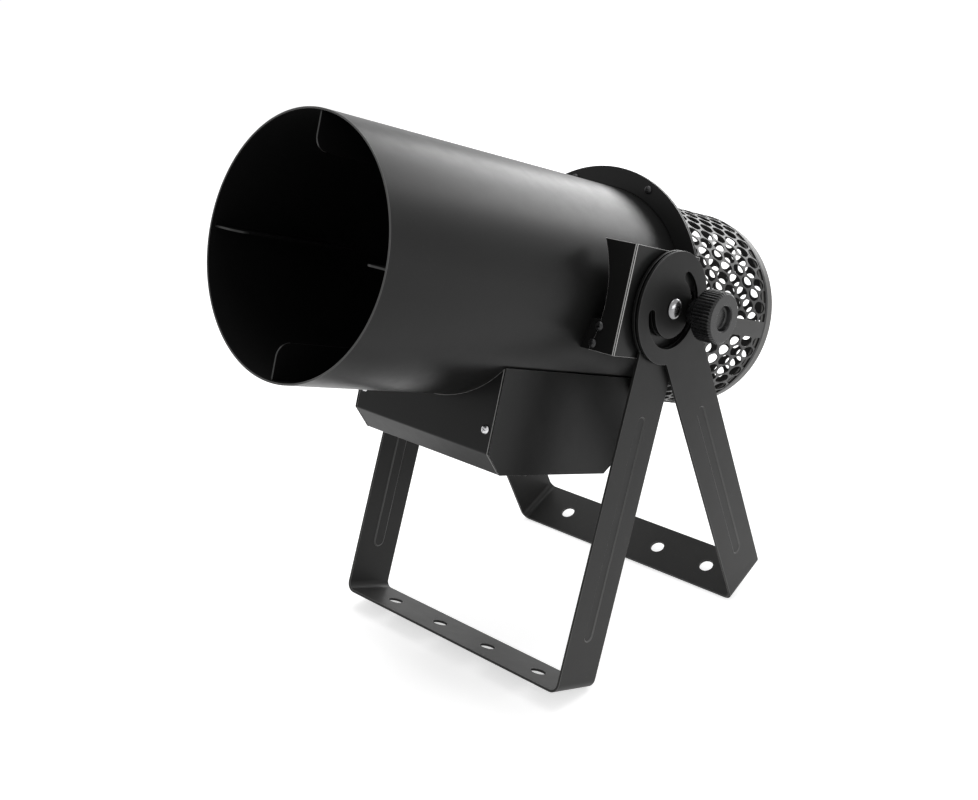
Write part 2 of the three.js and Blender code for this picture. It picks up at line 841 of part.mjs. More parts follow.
// A knurled knob with its neck, moulded round the stud and centred on the stud's own axis
function clampKnob(side) {
  const seat = rear_yoke_face + seat_gap;
  const base = seat + knob_neck_length;
  const crown = base + knob_length;
  const shape = new THREE.Shape();
  for (let index = 0; index < 2 * knob_ridge_count; index += 1) {
    const radius = index % 2 === 0 ? knob_radius : knob_radius - knob_ridge;
    const angle = (index * half_turn) / knob_ridge_count;
    const point = [radius * Math.cos(angle), radius * Math.sin(angle)];
    if (index === 0) {
      shape.moveTo(...point);
    } else {
      shape.lineTo(...point);
    }
  }
  shape.closePath();
  const head = alongY(shape, base, crown);
  const envelope = lathe([
    [0, base],
    [knob_radius - knob_chamfer, base],
    [knob_radius + knob_ridge, base + knob_chamfer],
    [knob_radius + knob_ridge, crown - knob_chamfer],
    [knob_radius - knob_chamfer, crown],
    [knob_dish_radius, crown],
    [knob_dish_radius - knob_chamfer, crown - knob_dish_depth],
    [0, crown - knob_dish_depth],
  ], medium_sides);
  const neck = rod(knob_neck_radius, seat, base + knob_chamfer, medium_sides);
  const socket = rod(stud_radius + seat_gap, seat - cut_overrun, seat + stud_grip + seat_gap, medium_sides);
  return toSide(cut(join(common(head, envelope), neck), socket), side);
}

// The threaded stud that runs from inside the knob through both slots into the bracket
function clampStud(side) {
  const inner_end = bracket_face - bracket_sheet - stud_tail;
  const outer_end = rear_yoke_face + seat_gap + stud_grip;
  return toSide(rod(stud_radius, inner_end, outer_end, medium_sides), side);
}

// The box's side profile about the barrel axis, set in from its outer faces
function boxOutline(inset, top) {
  const turn = Math.atan2(box_chamfer_run, box_chamfer_rise);
  const rise = inset * Math.tan(turn / 2);
  const run = inset * Math.tan((quarter_turn - turn) / 2);
  const corner = -(box_depth - box_chamfer_rise) + rise;
  const floor = -box_depth + inset;
  return outline([
    [-box_front + inset, top],
    [-box_front + inset, corner],
    [-box_front + box_chamfer_run + run, floor],
    [box_rear - box_chamfer_run - run, floor],
    [box_rear - inset, corner],
    [box_rear - inset, top],
  ]);
}

function barrelClearance() {
  return rod(barrel_radius + seat_gap, -pivot_to_muzzle, pivot_to_flange, large_sides);
}

function boxScrewPlaces() {
  const x = box_half_width - box_screw_inset;
  return [-x, x];
}

// Round cutters for the screws in the box's front and rear faces
function boxScrewHoles() {
  const depth = 2 * box_sheet + seat_gap + cut_overrun;
  const holes = [];
  for (const x of boxScrewPlaces()) {
    for (const y of [-box_front, box_rear]) {
      const hole = rod(screw_radius + seat_gap, y - depth, y + depth, screw_sides);
      holes.push(hole.translate(x, 0, -box_screw_depth));
    }
  }
  return mergeGeometries(holes);
}

function boxShell() {
  const half = box_half_width - box_sheet - seat_gap;
  const skin = alongX(boxOutline(0, 0), -half, half);
  const hollow = alongX(boxOutline(box_sheet, cut_overrun), -half - cut_overrun, half + cut_overrun);
  const lip_half = half - box_lip_inset;
  const lip_inner = barrel_radius + seat_gap;
  const lips = [-box_front, box_rear - box_lip_width].map((y) => {
    const lip = ring(lip_inner, lip_inner + box_sheet, y, y + box_lip_width, large_sides);
    return common(lip, block(-lip_half, lip_half, y, y + box_lip_width, -box_depth, 0));
  });
  return join(cut(skin, hollow, barrelClearance(), boxScrewHoles()), ...lips);
}

// A side plate with a return flange that lies inside the shell
function boxSide(side) {
  const outer = box_half_width;
  const inner = outer - box_sheet;
  const plate = alongX(boxOutline(0, -box_side_top), side * inner, side * outer);
  const tongue_inset = box_sheet + seat_gap;
  const tongue = alongX(boxOutline(tongue_inset, -box_side_top), side * (inner - box_return), side * inner);
  const hollow = alongX(
    boxOutline(tongue_inset + box_sheet, 0),
    side * (inner - box_return - cut_overrun), side * inner,
  );
  return cut(join(plate, cut(tongue, hollow)), barrelClearance(), boxScrewHoles());
}

// The left side plate, with openings for the controls
function boxControlSide() {
  const inlet = panelPiece(
    inlet_from_rear, -cut_overrun, cut_overrun,
    inlet_body_width + 2 * seat_gap, inlet_body_height + 2 * seat_gap,
  );
  const rocker = panelPiece(
    switch_from_rear, -cut_overrun, cut_overrun,
    switch_body_width + 2 * seat_gap, switch_body_height + 2 * seat_gap,
  );
  const fuse = rod(fuse_body_radius + seat_gap, -cut_overrun, cut_overrun, medium_sides);
  toSide(fuse, -1).translate(-box_half_width, box_rear - fuse_from_rear, -panel_depth);
  return cut(boxSide(-1), inlet, rocker, fuse);
}

// A block on the left side plate, reaching from one distance inside its face to another
function panelPiece(from_rear, inside0, inside1, width, height) {
  const y = box_rear - from_rear;
  return block(
    -box_half_width + inside0, -box_half_width + inside1,
    y - width / 2, y + width / 2, -panel_depth - height / 2, -panel_depth + height / 2,
  );
}

function powerInlet() {
  const face = -inlet_bezel - seat_gap;
  const socket_end = face + inlet_socket_depth;
  const bezel = panelPiece(inlet_from_rear, face, -seat_gap, inlet_width, inlet_height);
  const body = panelPiece(
    inlet_from_rear, -inlet_bezel, inlet_body_depth, inlet_body_width, inlet_body_height,
  );
  const socket = panelPiece(
    inlet_from_rear, face - cut_overrun, socket_end, inlet_socket_width, inlet_socket_height,
  );
  const y = box_rear - inlet_from_rear;
  const pins = [-1, 0, 1].map((index) => {
    const z = -panel_depth + (index === 0 ? inlet_pin_rise : -inlet_pin_rise);
    const x = -box_half_width + socket_end;
    const middle_y = y + index * inlet_pin_pitch;
    return block(
      x - inlet_pin_length, x + inlet_pin_thickness,
      middle_y - inlet_pin_thickness / 2, middle_y + inlet_pin_thickness / 2,
      z - inlet_pin_width / 2, z + inlet_pin_width / 2,
    );
  });
  return join(cut(join(bezel, body), socket), ...pins);
}

function switchBezel() {
  const face = -switch_bezel_thickness - seat_gap;
  const bezel = panelPiece(switch_from_rear, face, -seat_gap, switch_bezel_width, switch_bezel_height);
  const body = panelPiece(
    switch_from_rear, -switch_bezel_thickness, switch_body_depth, switch_body_width, switch_body_height,
  );
  const cavity = panelPiece(
    switch_from_rear, face - cut_overrun, face + switch_cavity_depth,
    switch_body_width - 2 * switch_wall, switch_body_height - 2 * switch_wall,
  );
  const half = switch_body_width / 2 + cut_overrun;
  const socket = rod(rocker_pin_radius + running_gap, -half, half, screw_sides);
  socket.translate(rockerAxisX(), box_rear - switch_from_rear, -panel_depth);
  const whole = join(bezel, body);
  const pin_reach = switch_body_width / 2 - switch_wall + rocker_pin_length + running_gap;
  const trimmed = common(socket, panelPiece(
    switch_from_rear, face, switch_body_depth, 2 * pin_reach, switch_body_height,
  ));
  return cut(whole, cavity, trimmed);
}

function rockerAxisX() {
  return -box_half_width - seat_gap;
}

// The rocker, made with its pivot pins on the y axis and tilted to its off position
function switchRocker() {
  const half = rocker_length / 2;
  const rest = half * Math.tan(radians(rocker_tilt_deg));
  const profile = outline([
    [rocker_root, half],
    [-rocker_rise - rest, half],
    [-rocker_rise, 0],
    [-rocker_rise - rest, -half],
    [rocker_root, -half],
  ]);
  const width = switch_body_width - 2 * switch_wall - 2 * seat_gap;
  const cap = alongY(profile, -width / 2, width / 2);
  const reach = width / 2 + seat_gap + rocker_pin_length - running_gap;
  const pins = rod(rocker_pin_radius, -reach, reach, screw_sides);
  return join(cap, pins);
}

function fuseHolder() {
  return toSide(lathe([
    [fuse_stem_radius + running_gap, 0],
    [fuse_flange_radius, 0],
    [fuse_flange_radius, fuse_flange],
    [fuse_body_radius, fuse_flange],
    [fuse_body_radius, fuse_body_depth],
    [0, fuse_body_depth],
    [0, fuse_bore_depth],
    [fuse_stem_radius + running_gap, fuse_bore_depth],
    [fuse_stem_radius + running_gap, 0],
  ], medium_sides), 1);
}

function fuseCap() {
  const body = lathe([
    [0, -fuse_cap_height],
    [fuse_cap_radius, -fuse_cap_height],
    [fuse_cap_radius, -seat_gap],
    [fuse_stem_radius, -seat_gap],
    [fuse_stem_radius, fuse_stem_length],
    [0, fuse_stem_length],
  ], medium_sides);
  const slot = block(
    -fuse_slot_width / 2, fuse_slot_width / 2, -fuse_cap_height - cut_overrun,
    -fuse_cap_height + fuse_slot_depth, -fuse_cap_radius - cut_overrun, fuse_cap_radius + cut_overrun,
  );
  return toSide(cut(body, slot), 1);
}

// Top of the box's floor, on which the electronics stand
const floor_top = -box_depth + box_sheet;

function circuitBoard() {
  const x0 = -board_offset - board_width / 2;
  const y0 = -box_front + board_front;
  const z0 = floor_top + seat_gap + standoff_height;
  const board = block(x0, x0 + board_width, y0, y0 + board_length, z0, z0 + board_thickness);
  const posts = [];
  for (const x of [x0 + standoff_inset, x0 + board_width - standoff_inset]) {
    for (const y of [y0 + standoff_inset, y0 + board_length - standoff_inset]) {
      const post = rod(standoff_radius, floor_top + seat_gap, z0 + board_thickness / 2, screw_sides);
      posts.push(post.rotateX(quarter_turn).translate(x, y, 0));
    }
  }
  return join(board, ...posts);
}

function fanRelay() {
  const x0 = -board_offset - board_width / 2 + relay_offset;
  const y0 = -box_front + board_front + relay_front;
  const z0 = floor_top + 2 * seat_gap + standoff_height + board_thickness;
  return block(x0, x0 + relay_width, y0, y0 + relay_length, z0, z0 + relay_height);
}

function transformer() {
  const half = transformer_width / 2;
  const y0 = -box_front + transformer_front;
  const z0 = floor_top + seat_gap;
  const core = block(
    transformer_offset - half, transformer_offset + half,
    y0, y0 + transformer_length, z0, z0 + transformer_height,
  );
  const bobbin_half = half - transformer_bobbin_inset;
  const bobbin = block(
    transformer_offset - bobbin_half, transformer_offset + bobbin_half,
    y0 - transformer_bobbin_bulge, y0 + transformer_length + transformer_bobbin_bulge,
    z0 + transformer_bobbin_inset, z0 + transformer_height - transformer_bobbin_inset,
  );
  return join(core, bobbin);
}

function runCapacitor() {
  const x0 = -capacitor_offset - capacitor_length;
  const can = rod(capacitor_radius, x0, x0 + capacitor_length, medium_sides);
  return toSide(can, 1).translate(0, box_rear - capacitor_rear, floor_top + seat_gap + capacitor_radius);
}

// A rubber grommet in the barrel's wall, inside the box
function cableGrommet() {
  const neck = grommet_hole_radius - seat_gap;
  const sag = grommet_radius * Math.tan(half_turn / large_sides);
  const inside = -barrel_inner + sag + seat_gap;
  const outside = -barrel_radius - seat_gap;
  const body = lathe([
    [grommet_bore, outside - grommet_lip],
    [grommet_radius, outside - grommet_lip],
    [grommet_radius, outside],
    [neck, outside],
    [neck, inside],
    [grommet_radius, inside],
    [grommet_radius, inside + grommet_lip],
    [grommet_bore, inside + grommet_lip],
    [grommet_bore, outside - grommet_lip],
  ], small_sides);
  return body.rotateX(quarter_turn);
}

function add(parent, name, geometry, material) {
  const mesh = new THREE.Mesh(geometry, material);
  mesh.name = name;
  parent.add(mesh);
  return mesh;
}

const blower = new THREE.Group();
const pivot_frame = new THREE.Group();
const barrel_frame = new THREE.Group();
const axis_frame = new THREE.Group();
const front_frame = new THREE.Group();
const rear_frame = new THREE.Group();
blower.add(pivot_frame);
pivot_frame.add(barrel_frame, front_frame, rear_frame);
barrel_frame.add(axis_frame);

// Both yokes stand on the lower edge of their bar, so one splay sets the pivot height and the other
const front_splay = radians(front_splay_deg);
const pivot_height = leg_length * Math.cos(front_splay) + (strip_width / 2) * Math.sin(front_splay);
const rear_leg_length = leg_length + nest_step;
const rear_reach = Math.hypot(rear_leg_length, strip_width / 2);
const rear_splay = Math.atan2(strip_width / 2, rear_leg_length) + Math.acos(pivot_height / rear_reach);
pivot_frame.position.z = pivot_height;
barrel_frame.rotation.x = -radians(barrel_tilt_deg);
axis_frame.position.z = -barrel_drop;
front_frame.rotation.x = -front_splay;
rear_frame.rotation.x = rear_splay;

// Barrel, muzzle fins and flange
add(axis_frame, 'barrel_tube', barrelTube(), powder_black);
add(axis_frame, 'barrel_flange', barrelFlange(), powder_black);
const fin_names = ['right', 'top', 'left', 'bottom'];
for (let index = 0; index < fin_count; index += 1) {
  const fin = add(axis_frame, `muzzle_fin_${fin_names[index]}`, muzzleFin(), powder_black);
  fin.rotation.y = (-index * full_turn) / fin_count;
}
for (let index = 0; index < flange_screw_count; index += 1) {
  const { x, z } = flangeScrewPlace(index);
  const length = 2 * flange_thickness + 2 * seat_gap + screw_tail;
  const body = screw(screw_head_radius, screw_head_height, screw_radius, length);
  const mesh = add(axis_frame, `flange_screw_${index + 1}`, body, black_steel);
  mesh.position.set(x, pivot_to_flange - seat_gap, z);
}

// Intake cage
add(axis_frame, 'intake_cage', intakeCage(), cage_black);
add(axis_frame, 'cage_rear_ring', cageRearRing(), ring_grey);
add(axis_frame, 'rear_guard', rearGuard(), cage_black);

// Fan
add(axis_frame, 'confetti_screen', confettiScreen(), cage_black);
add(axis_frame, 'impeller', impeller(), dark_plastic);
add(axis_frame, 'motor_shaft', motorShaft(), bright_steel);
add(axis_frame, 'impeller_nut', impellerNut(), bright_steel);
add(axis_frame, 'fan_motor', fanMotor(), cast_aluminium);
add(axis_frame, 'motor_mount', motorMount(), powder_black);
const grommet = add(axis_frame, 'cable_grommet', cableGrommet(), grommet_rubber);
grommet.position.y = grommet_front;

// Side brackets, pivots and clamp knobs
for (const [side, word] of [[1, 'right'], [-1, 'left']]) {
  add(barrel_frame, `side_bracket_${word}`, sideBracket(side), powder_black);
  bracketScrewPlaces(side).forEach(({ x, z }, index) => {
    const length = bracket_sheet + lug_length;
    const body = screw(screw_head_radius, screw_head_height, screw_radius, length);
    const mesh = add(axis_frame, `bracket_screw_${word}_${index + 1}`, body, black_steel);
    mesh.position.set(x, -bracket_front - seat_gap, z);
  });
  add(barrel_frame, `bracket_washer_${word}`, frictionWasher(side, bracket_face), washer_fibre);
  add(barrel_frame, `disc_washer_${word}`, frictionWasher(side, front_yoke_face), washer_fibre);
  add(barrel_frame, `pivot_bolt_${word}`, pivotBolt(side), bright_steel);
  add(barrel_frame, `pivot_nut_${word}`, pivotNut(side), bright_steel);
  const knob = add(barrel_frame, `clamp_knob_${word}`, clampKnob(side), dark_plastic);
  knob.position.y = slot_radius;
  const stud = add(barrel_frame, `clamp_stud_${word}`, clampStud(side), bright_steel);
  stud.position.y = slot_radius;
}

// Yokes
add(front_frame, 'front_yoke', yoke(front_yoke_face, leg_length, front_bead_top), powder_black);
add(rear_frame, 'rear_yoke', yoke(rear_yoke_face, rear_leg_length, rear_bead_top), powder_black);

// Control box
add(axis_frame, 'box_shell', boxShell(), powder_black);
add(axis_frame, 'box_side_right', boxSide(1), powder_black);
add(axis_frame, 'box_side_left', boxControlSide(), powder_black);
boxScrewPlaces().forEach((x, index) => {
  const length = 2 * box_sheet + 2 * seat_gap + screw_tail;
  const word = index === 0 ? 'left' : 'right';
  const front = screw(screw_head_radius, screw_head_height, screw_radius, length);
  const front_mesh = add(axis_frame, `box_screw_front_${word}`, front, bright_steel);
  front_mesh.position.set(x, -box_front - seat_gap, -box_screw_depth);
  const rear = screw(screw_head_radius, screw_head_height, screw_radius, length);
  const rear_mesh = add(axis_frame, `box_screw_rear_${word}`, rear, bright_steel);
  rear_mesh.rotation.z = half_turn;
  rear_mesh.position.set(x, box_rear + seat_gap, -box_screw_depth);
});

// Controls and electronics
add(axis_frame, 'power_inlet', powerInlet(), dark_plastic);
add(axis_frame, 'switch_bezel', switchBezel(), dark_plastic);
const rocker = add(axis_frame, 'switch_rocker', switchRocker(), dark_plastic);
rocker.position.set(rockerAxisX(), box_rear - switch_from_rear, -panel_depth);
rocker.rotation.y = radians(rocker_tilt_deg);
const holder = add(axis_frame, 'fuse_holder', fuseHolder(), dark_plastic);
const holder_y = box_rear - fuse_from_rear;
holder.position.set(-box_half_width - seat_gap - fuse_flange, holder_y, -panel_depth);
const cap = add(axis_frame, 'fuse_cap', fuseCap(), dark_plastic);
cap.position.copy(holder.position);
add(axis_frame, 'circuit_board', circuitBoard(), board_green);
add(axis_frame, 'fan_relay', fanRelay(), dark_plastic);
add(axis_frame, 'transformer', transformer(), copper_winding);
add(axis_frame, 'run_capacitor', runCapacitor(), cast_aluminium);

// The origin lies under the middle of the whole blower, on the floor
const extent = new THREE.Box3().setFromObject(blower, true);
const middle = extent.getCenter(new THREE.Vector3());
pivot_frame.position.y = -middle.y;

export default blower;
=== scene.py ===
import json
from math import asin, atan2, cos, hypot, pi, radians, sin, sqrt, tan, tau

import bmesh
import bpy
from mathutils import Matrix, Vector


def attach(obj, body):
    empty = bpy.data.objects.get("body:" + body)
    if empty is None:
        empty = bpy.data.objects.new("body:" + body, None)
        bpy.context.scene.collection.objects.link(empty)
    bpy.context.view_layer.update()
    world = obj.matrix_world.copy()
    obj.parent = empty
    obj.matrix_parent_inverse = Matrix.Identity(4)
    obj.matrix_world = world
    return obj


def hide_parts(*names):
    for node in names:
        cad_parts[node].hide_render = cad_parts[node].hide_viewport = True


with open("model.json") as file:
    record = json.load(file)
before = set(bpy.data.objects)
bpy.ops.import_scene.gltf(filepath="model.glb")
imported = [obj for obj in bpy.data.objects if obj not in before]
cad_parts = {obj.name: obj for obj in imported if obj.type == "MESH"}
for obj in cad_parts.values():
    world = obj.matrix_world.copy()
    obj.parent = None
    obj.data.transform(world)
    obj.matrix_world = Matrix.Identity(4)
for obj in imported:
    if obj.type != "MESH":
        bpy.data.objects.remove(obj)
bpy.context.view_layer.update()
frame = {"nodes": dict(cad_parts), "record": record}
record = frame["record"]

# Camera of the photograph
photo_width = 978
photo_height = 800
photo_focal = 1272.3
photo_middle_x = 513.5
photo_middle_y = 380.5
sensor_width = 36
camera_azimuth = 42.37
camera_elevation = 19.95
camera_place = (0.7264, -0.8133, 0.6338)

# Yokes' coat: painted shade that darkens it from the feet up to the discs; heights in metres
foot_height = 0.06
disc_height = 0.33
disc_painted_shade = 0.18

# Shared small sizes
mm = 0.001
weld = 0.01
seat_gap = 0.3
running_gap = 0.08
edge_round = 0.35
hair_bevel = 0.2
fine_bevel = 0.3
plate_bevel = 0.4
small_bevel = 0.5
sheet_bevel = 0.6
cut_overrun = 2
bend_steps = 8
smooth_angle = radians(26)
bevel_angle = radians(40)
both_sides = ((1, "right"), (-1, "left"))

# Sides of round shapes
plate_sides = 128
turned_sides = 96
small_turned_sides = 64
shaft_sides = 48
screw_sides = 40
pin_hole_sides = 32
screw_hole_sides = 20

# Barrel and fins
barrel_radius = 101.6
barrel_wall = 1.6
barrel_inner = barrel_radius - barrel_wall
barrel_drop = 7.2
pivot_to_axis = -barrel_drop
barrel_muzzle = -296.3
barrel_rear = 64.5
barrel_sides = 192
lip_round = 0.6
fin_count = 4
fin_setback = 4
fin_length = 120
fin_height = 28.5
fin_thickness = 1.5
fin_corner = 11

# Flanges and their screws; twists in radians
flange_radius = 120.4
flange_front = 62.5
flange_thickness = 2
flange_screw_radius = 112.7
flange_screw_count = 8
flange_screw_turn = radians(22.5)
screw_radius = 2
screw_head_radius = 3.8
screw_head_height = 2.4
screw_tail = 3
recess_reach = 2.1
recess_half = 0.42
recess_depth = 1.3
screw_crown_shares = ((0, 1), (0.45, 0.97), (0.8, 0.72), (1, 0.25), (1, 0))
screw_round = 0.5
screw_plain = 0.6
screw_thread_share = 0.7
screw_tip_share = 0.6
flange_screw_twist = 1.3
bracket_screw_twist = 0.4
box_screw_twist = 0.3

# Intake cage
cage_radius = 98.5
cage_wall = 1.2
cage_front = flange_front + flange_thickness + seat_gap
cage_rear = 228.3
cage_rows = 54
cage_first_hole = 77.9
cage_holes_in_row = 7
cage_pitch = 22.5
cage_hole_length = 19.2
cage_hole_width = 12
cage_flat_share = 0.24
cage_margin_front = 4
cage_margin_rear = 4
cage_cell_steps = 6
hem_width = 3.8
hem_rise = 0.4
cage_row_turn = radians(10.9)
strip_low = radians(-6.3)
strip_high = radians(3.1)
strip_rise = 0.8
strip_steps = 8

# Ring and guard
ring_radius = 97
ring_width = 20.3
ring_rear = 241.3
ring_wall = 1.2
ring_lip = 9
ring_round = 0.7
guard_thickness = 1.2
guard_border = 4
mesh_pitch_x = 21
mesh_pitch_z = 10.9
mesh_hole_radius = 5.9
mesh_hole_sides = 20

# Confetti screen
screen_front = -72
screen_band = 12
screen_thickness = 1.2
screen_border = 4

# Fan
hub_radius = 30
hub_front = -28
hub_length = 40
hub_nose = 8
hub_boss = 7
hub_boss_rise = 2
hub_draft = 1
hub_wall = 3
hub_hollow = 12
hub_sleeve = 5
hub_round = 1.2
blade_count = 6
blade_thickness = 2.2
blade_root_chord = 44
blade_tip_chord = 58
blade_root_pitch = radians(50)
blade_tip_pitch = radians(28)
blade_tip_radius = 96.6
blade_camber_share = 0.04
blade_sink = 1
blade_edge_half = 0.15
blade_stations = 12
blade_points = 12
shaft_radius = 5
shaft_front = -40
shaft_rear = 81.7
shaft_chamfer = 1
nut_radius = 9
nut_height = 7

# Motor and mount
motor_front = 22
motor_radius = 38
motor_length = 84
motor_nose_radius = 16
motor_nose_height = 5
motor_nose_land = 3
motor_nose_slope = 2
motor_bore_reach = 3
motor_cap = 7
motor_rib_count = 40
motor_rib_depth = 2.2
motor_rib_level = 0.1
motor_rib_margin_front = 3
motor_rib_margin_rear = 4
motor_groove = 1
motor_ring_half = 4
motor_ring_depth = 2
motor_round = 1.2
mount_front = 34
mount_width = 22
mount_wall = 3
mount_arm_count = 4
mount_foot_width = 26
mount_foot_steps = 12
mount_side_steps = 4
mount_ring_steps = 24

# Side brackets
bracket_face = 130.6
bracket_sheet = 2
bracket_bend = 2.5
bracket_front = -58.5
bracket_rear = 37
bracket_half_height = 46
bracket_arc = 111.6
bracket_arc_steps = 12
drum_steps = 24
bracket_edge_round = 0.6
bracket_bend_steps = 5
lug_front = -56.2
lug_length = 10
lug_top = -12.8
lug_height = 26
lug_reach = 16.4
bracket_screw_circle = 112.6
bracket_screw_upper = -18
bracket_screw_pitch = 15

# Yokes
strip_width = 52.4
strip_thickness = 2.5
strip_bend = 9
yoke_edge_round = 0.5
front_face = 134.8
rear_face = 139
disc_radius = 48.5
slot_radius = 30.2
slot_width = 9.3
slot_half_span = radians(116.5)
disc_steps = 96
slot_steps = 64
slot_end_steps = 12
clamp_hole_radius = 7
clamp_hole_pitch = 61.3
clamp_hole_count = 4
bead_half_width = 6
bead_depth = 0.9
front_bead_top = 100.5
rear_bead_top = 118
bead_bottom_margin = 51
bead_shares = ((0.97, 0.12), (0.9, 0.5), (0.83, 0.88), (0.79, 1))
washer_radius = 23
washer_thickness = 1.1
washer_round = 0.25

# Pivot bolts, studs and knobs
pivot_radius = 4
dome_radius = 9
dome_height = 4.4
dome_edge = 0.4
dome_base = 0.6
dome_steps = 20
dome_sides = 72
pivot_nut_radius = 7.5
pivot_nut_height = 6.5
thread_tail = 10
thread_pitch = 1.25
thread_depth = 0.45
thread_lead = 0.8
thread_runout = 0.1
knob_radius = 22.5
knob_length = 20.2
knob_ridges = 46
knob_ridge_depth = 1.1
knob_ridge_sharpness = 1.6
knob_chamfer = 2
knob_dish_radius = 11
knob_dish_depth = 5
knob_dish_lip = 1
knob_dish_lip_drop = 0.6
knob_dish_slope = 1.2
knob_dish_foot = 0.8
knob_dish_sag = 0.4
knob_neck_radius = 12
knob_neck_length = 11
knob_neck_chamfer = 1.5
knob_neck_flare = 1.2
knob_rim_band = 1
knob_grip = 13
knob_round = 0.6

# Control box
box_half_width = 80.7
box_front = -127.2
box_rear = 54.6
box_floor = -152.8
box_chamfer_run = 19
box_chamfer_rise = 17.5
box_sheet = 1.5
box_side_top = -64.1
box_fold = 2.5
box_return = 10
box_side_round = 0.8
box_tongue_round = 1.5
box_lip_half = 63.9
box_lip_width = 12
belly_steps = 48
wing_steps = 6
box_screw_x = 72.3
box_screw_z = -116.2

# Controls on the left side plate
panel_z = -108
inlet_y = 24.6
inlet_width = 31
inlet_height = 26
inlet_bezel = 2
inlet_depth = 20
inlet_body_width = 27
inlet_body_height = 20
inlet_body_round = 1.2
inlet_plate_round = 2.5
socket_width = 24
socket_height = 16.5
socket_depth = 16
socket_cut = 4.5
socket_round = 0.8
socket_wall = 1
socket_rim = 2.4
socket_rim_rise = 0.2
socket_rim_sink = 0.4
pin_width = 4
pin_thickness = 2
pin_length = 12
pin_pitch = 7
pin_rise = 2
pin_round = 0.4
switch_y = -20.4
bezel_width = 17
bezel_height = 25
bezel_thickness = 2
bezel_round = 1.6
switch_opening_width = 10
switch_opening_height = 17
switch_depth = 14
switch_body_width = 13
switch_body_height = 20
switch_wall = 1
rocker_width = 9.4
rocker_length = 14.6
rocker_rise = 3
rocker_root = 3
rocker_tilt = radians(10)
rocker_crest_round = 14
rocker_crest_steps = 10
mark_place_share = 0.58
mark_rise = 0.12
mark_height = 0.18
mark_bar_width = 0.6
mark_bar_length = 2.8
mark_ring_outer = 1.5
mark_ring_inner = 1
fuse_y = -55.4
fuse_flange_radius = 8.5
fuse_flange = 2
fuse_body_radius = 6.5
fuse_body_depth = 24
fuse_bore_depth = 16
fuse_stem_radius = 4
fuse_stem_length = 12
fuse_cap_radius = 6.8
fuse_cap_height = 6
fuse_cap_ridges = 24
fuse_cap_chamfer = 1
fuse_ridge_depth = 0.35
fuse_ridge_end = 0.6
fuse_ridge_band = 0.05
fuse_round = 0.5
fuse_slot_half = 0.8
fuse_slot_depth = 1.5
grommet_y = 32
grommet_hole_radius = 5.7
grommet_radius = 8
grommet_bore = 3
grommet_lip = 1.6
grommet_round = 0.7

# Floor and light; places and sizes in metres, power in watts
floor_half = 30
floor_cells = 8
floor_lift = 0.62
world_level = 0.5
camera_reach = 100
target_height = 0.25
softboxes = {
    "overhead": ((-0.2, 0.2, 2.1), 1.2, 1.6, 18),
    "back": ((-0.3, 2.6, 1.25), 2.2, 1.1, 38),
    "side_fill": ((2.1, 0.5, 0.5), 1.2, 0.6, 8),
}

# Facts of the frame
joints = {joint["name"]: joint for joint in record["behaviour"]["joints"]}
mounts = {mount["name"]: mount for mount in record["mounts"]}
body_of_node = {node: body for body, nodes in record["behaviour"]["bodies"].items() for node in nodes}
slot_of_node = {part["node"]: part["material_slot"] for part in record["subparts"]}


def space(origin, along_y):
    """Matrix from millimetres about an origin, with y along a direction and x kept, to metres"""
    x = Vector((1, 0, 0))
    y = Vector(along_y).normalized()
    turn = Matrix((x, y, x.cross(y))).transposed().to_4x4()
    return Matrix.Translation(origin) @ turn @ Matrix.Scale(mm, 4)


def yoke_space(mount):
    """A yoke's space hangs from the pivot, with -z down its legs"""
    down = Vector(mount["axis"])
    return space(pivot, (-down).cross(Vector((1, 0, 0))))


def leg_length(mount):
    return (Vector(mount["pos_m"]) - pivot).dot(Vector(mount["axis"]).normalized()) / mm


pivot = Vector(joints["front_yoke_tilt"]["pos_m"])
barrel_space = space(Vector(joints["fan_spin"]["pos_m"]), joints["fan_spin"]["axis"])
pivot_space = space(pivot, joints["fan_spin"]["axis"])
front_mount = mounts["front_yoke_clamp_face"]
rear_mount = mounts["rear_yoke_clamp_face"]


def to_side(base, side, y=0, z=0, x=0):
    """A space whose +y end points to the given side along x"""
    return base @ Matrix.Translation((x, y, z)) @ Matrix.Rotation(-side * pi / 2, 4, "Z")


def on_barrel(x, y, z, turn=0, axis="Y"):
    """A space moved along the barrel's axes, then turned"""
    return barrel_space @ Matrix.Translation((x, y, z)) @ Matrix.Rotation(turn, 4, axis)


# Outlines


def arc(u, v, radius, start, end, steps):
    """Points on a circle from one angle to another"""
    turn = (end - start) / steps
    return [
        (u + radius * cos(start + turn * k), v + radius * sin(start + turn * k))
        for k in range(steps + 1)
    ]


def circle(u, v, radius, sides):
    return arc(u, v, radius, 0, tau, sides)[:-1]


def soften(points, radius, steps=3, closed=False):
    """Rounds the corners of a line of points"""
    count = len(points)
    result = []
    for k, point in enumerate(points):
        if not closed and k in (0, count - 1):
            result.append(point)
            continue
        here = Vector(point)
        before = Vector(points[k - 1]) - here
        after = Vector(points[(k + 1) % count]) - here
        if before.length < weld or after.length < weld:
            result.append(point)
            continue
        turn = pi - before.angle(after)
        if turn < smooth_angle / 2:
            result.append(point)
            continue
        reach = min(radius * tan(turn / 2), before.length * 0.45, after.length * 0.45)
        first = here + before.normalized() * reach
        last = here + after.normalized() * reach
        for step in range(steps + 1):
            t = step / steps
            bent = first.lerp(here, t).lerp(here.lerp(last, t), t)
            result.append((bent.x, bent.y))
    return result


def obround(v_top, v_bottom, half, steps=12):
    """An upright slot with round ends, between two centres"""
    return arc(0, v_top, half, 0, pi, steps) + arc(0, v_bottom, half, pi, tau, steps)


# Meshes


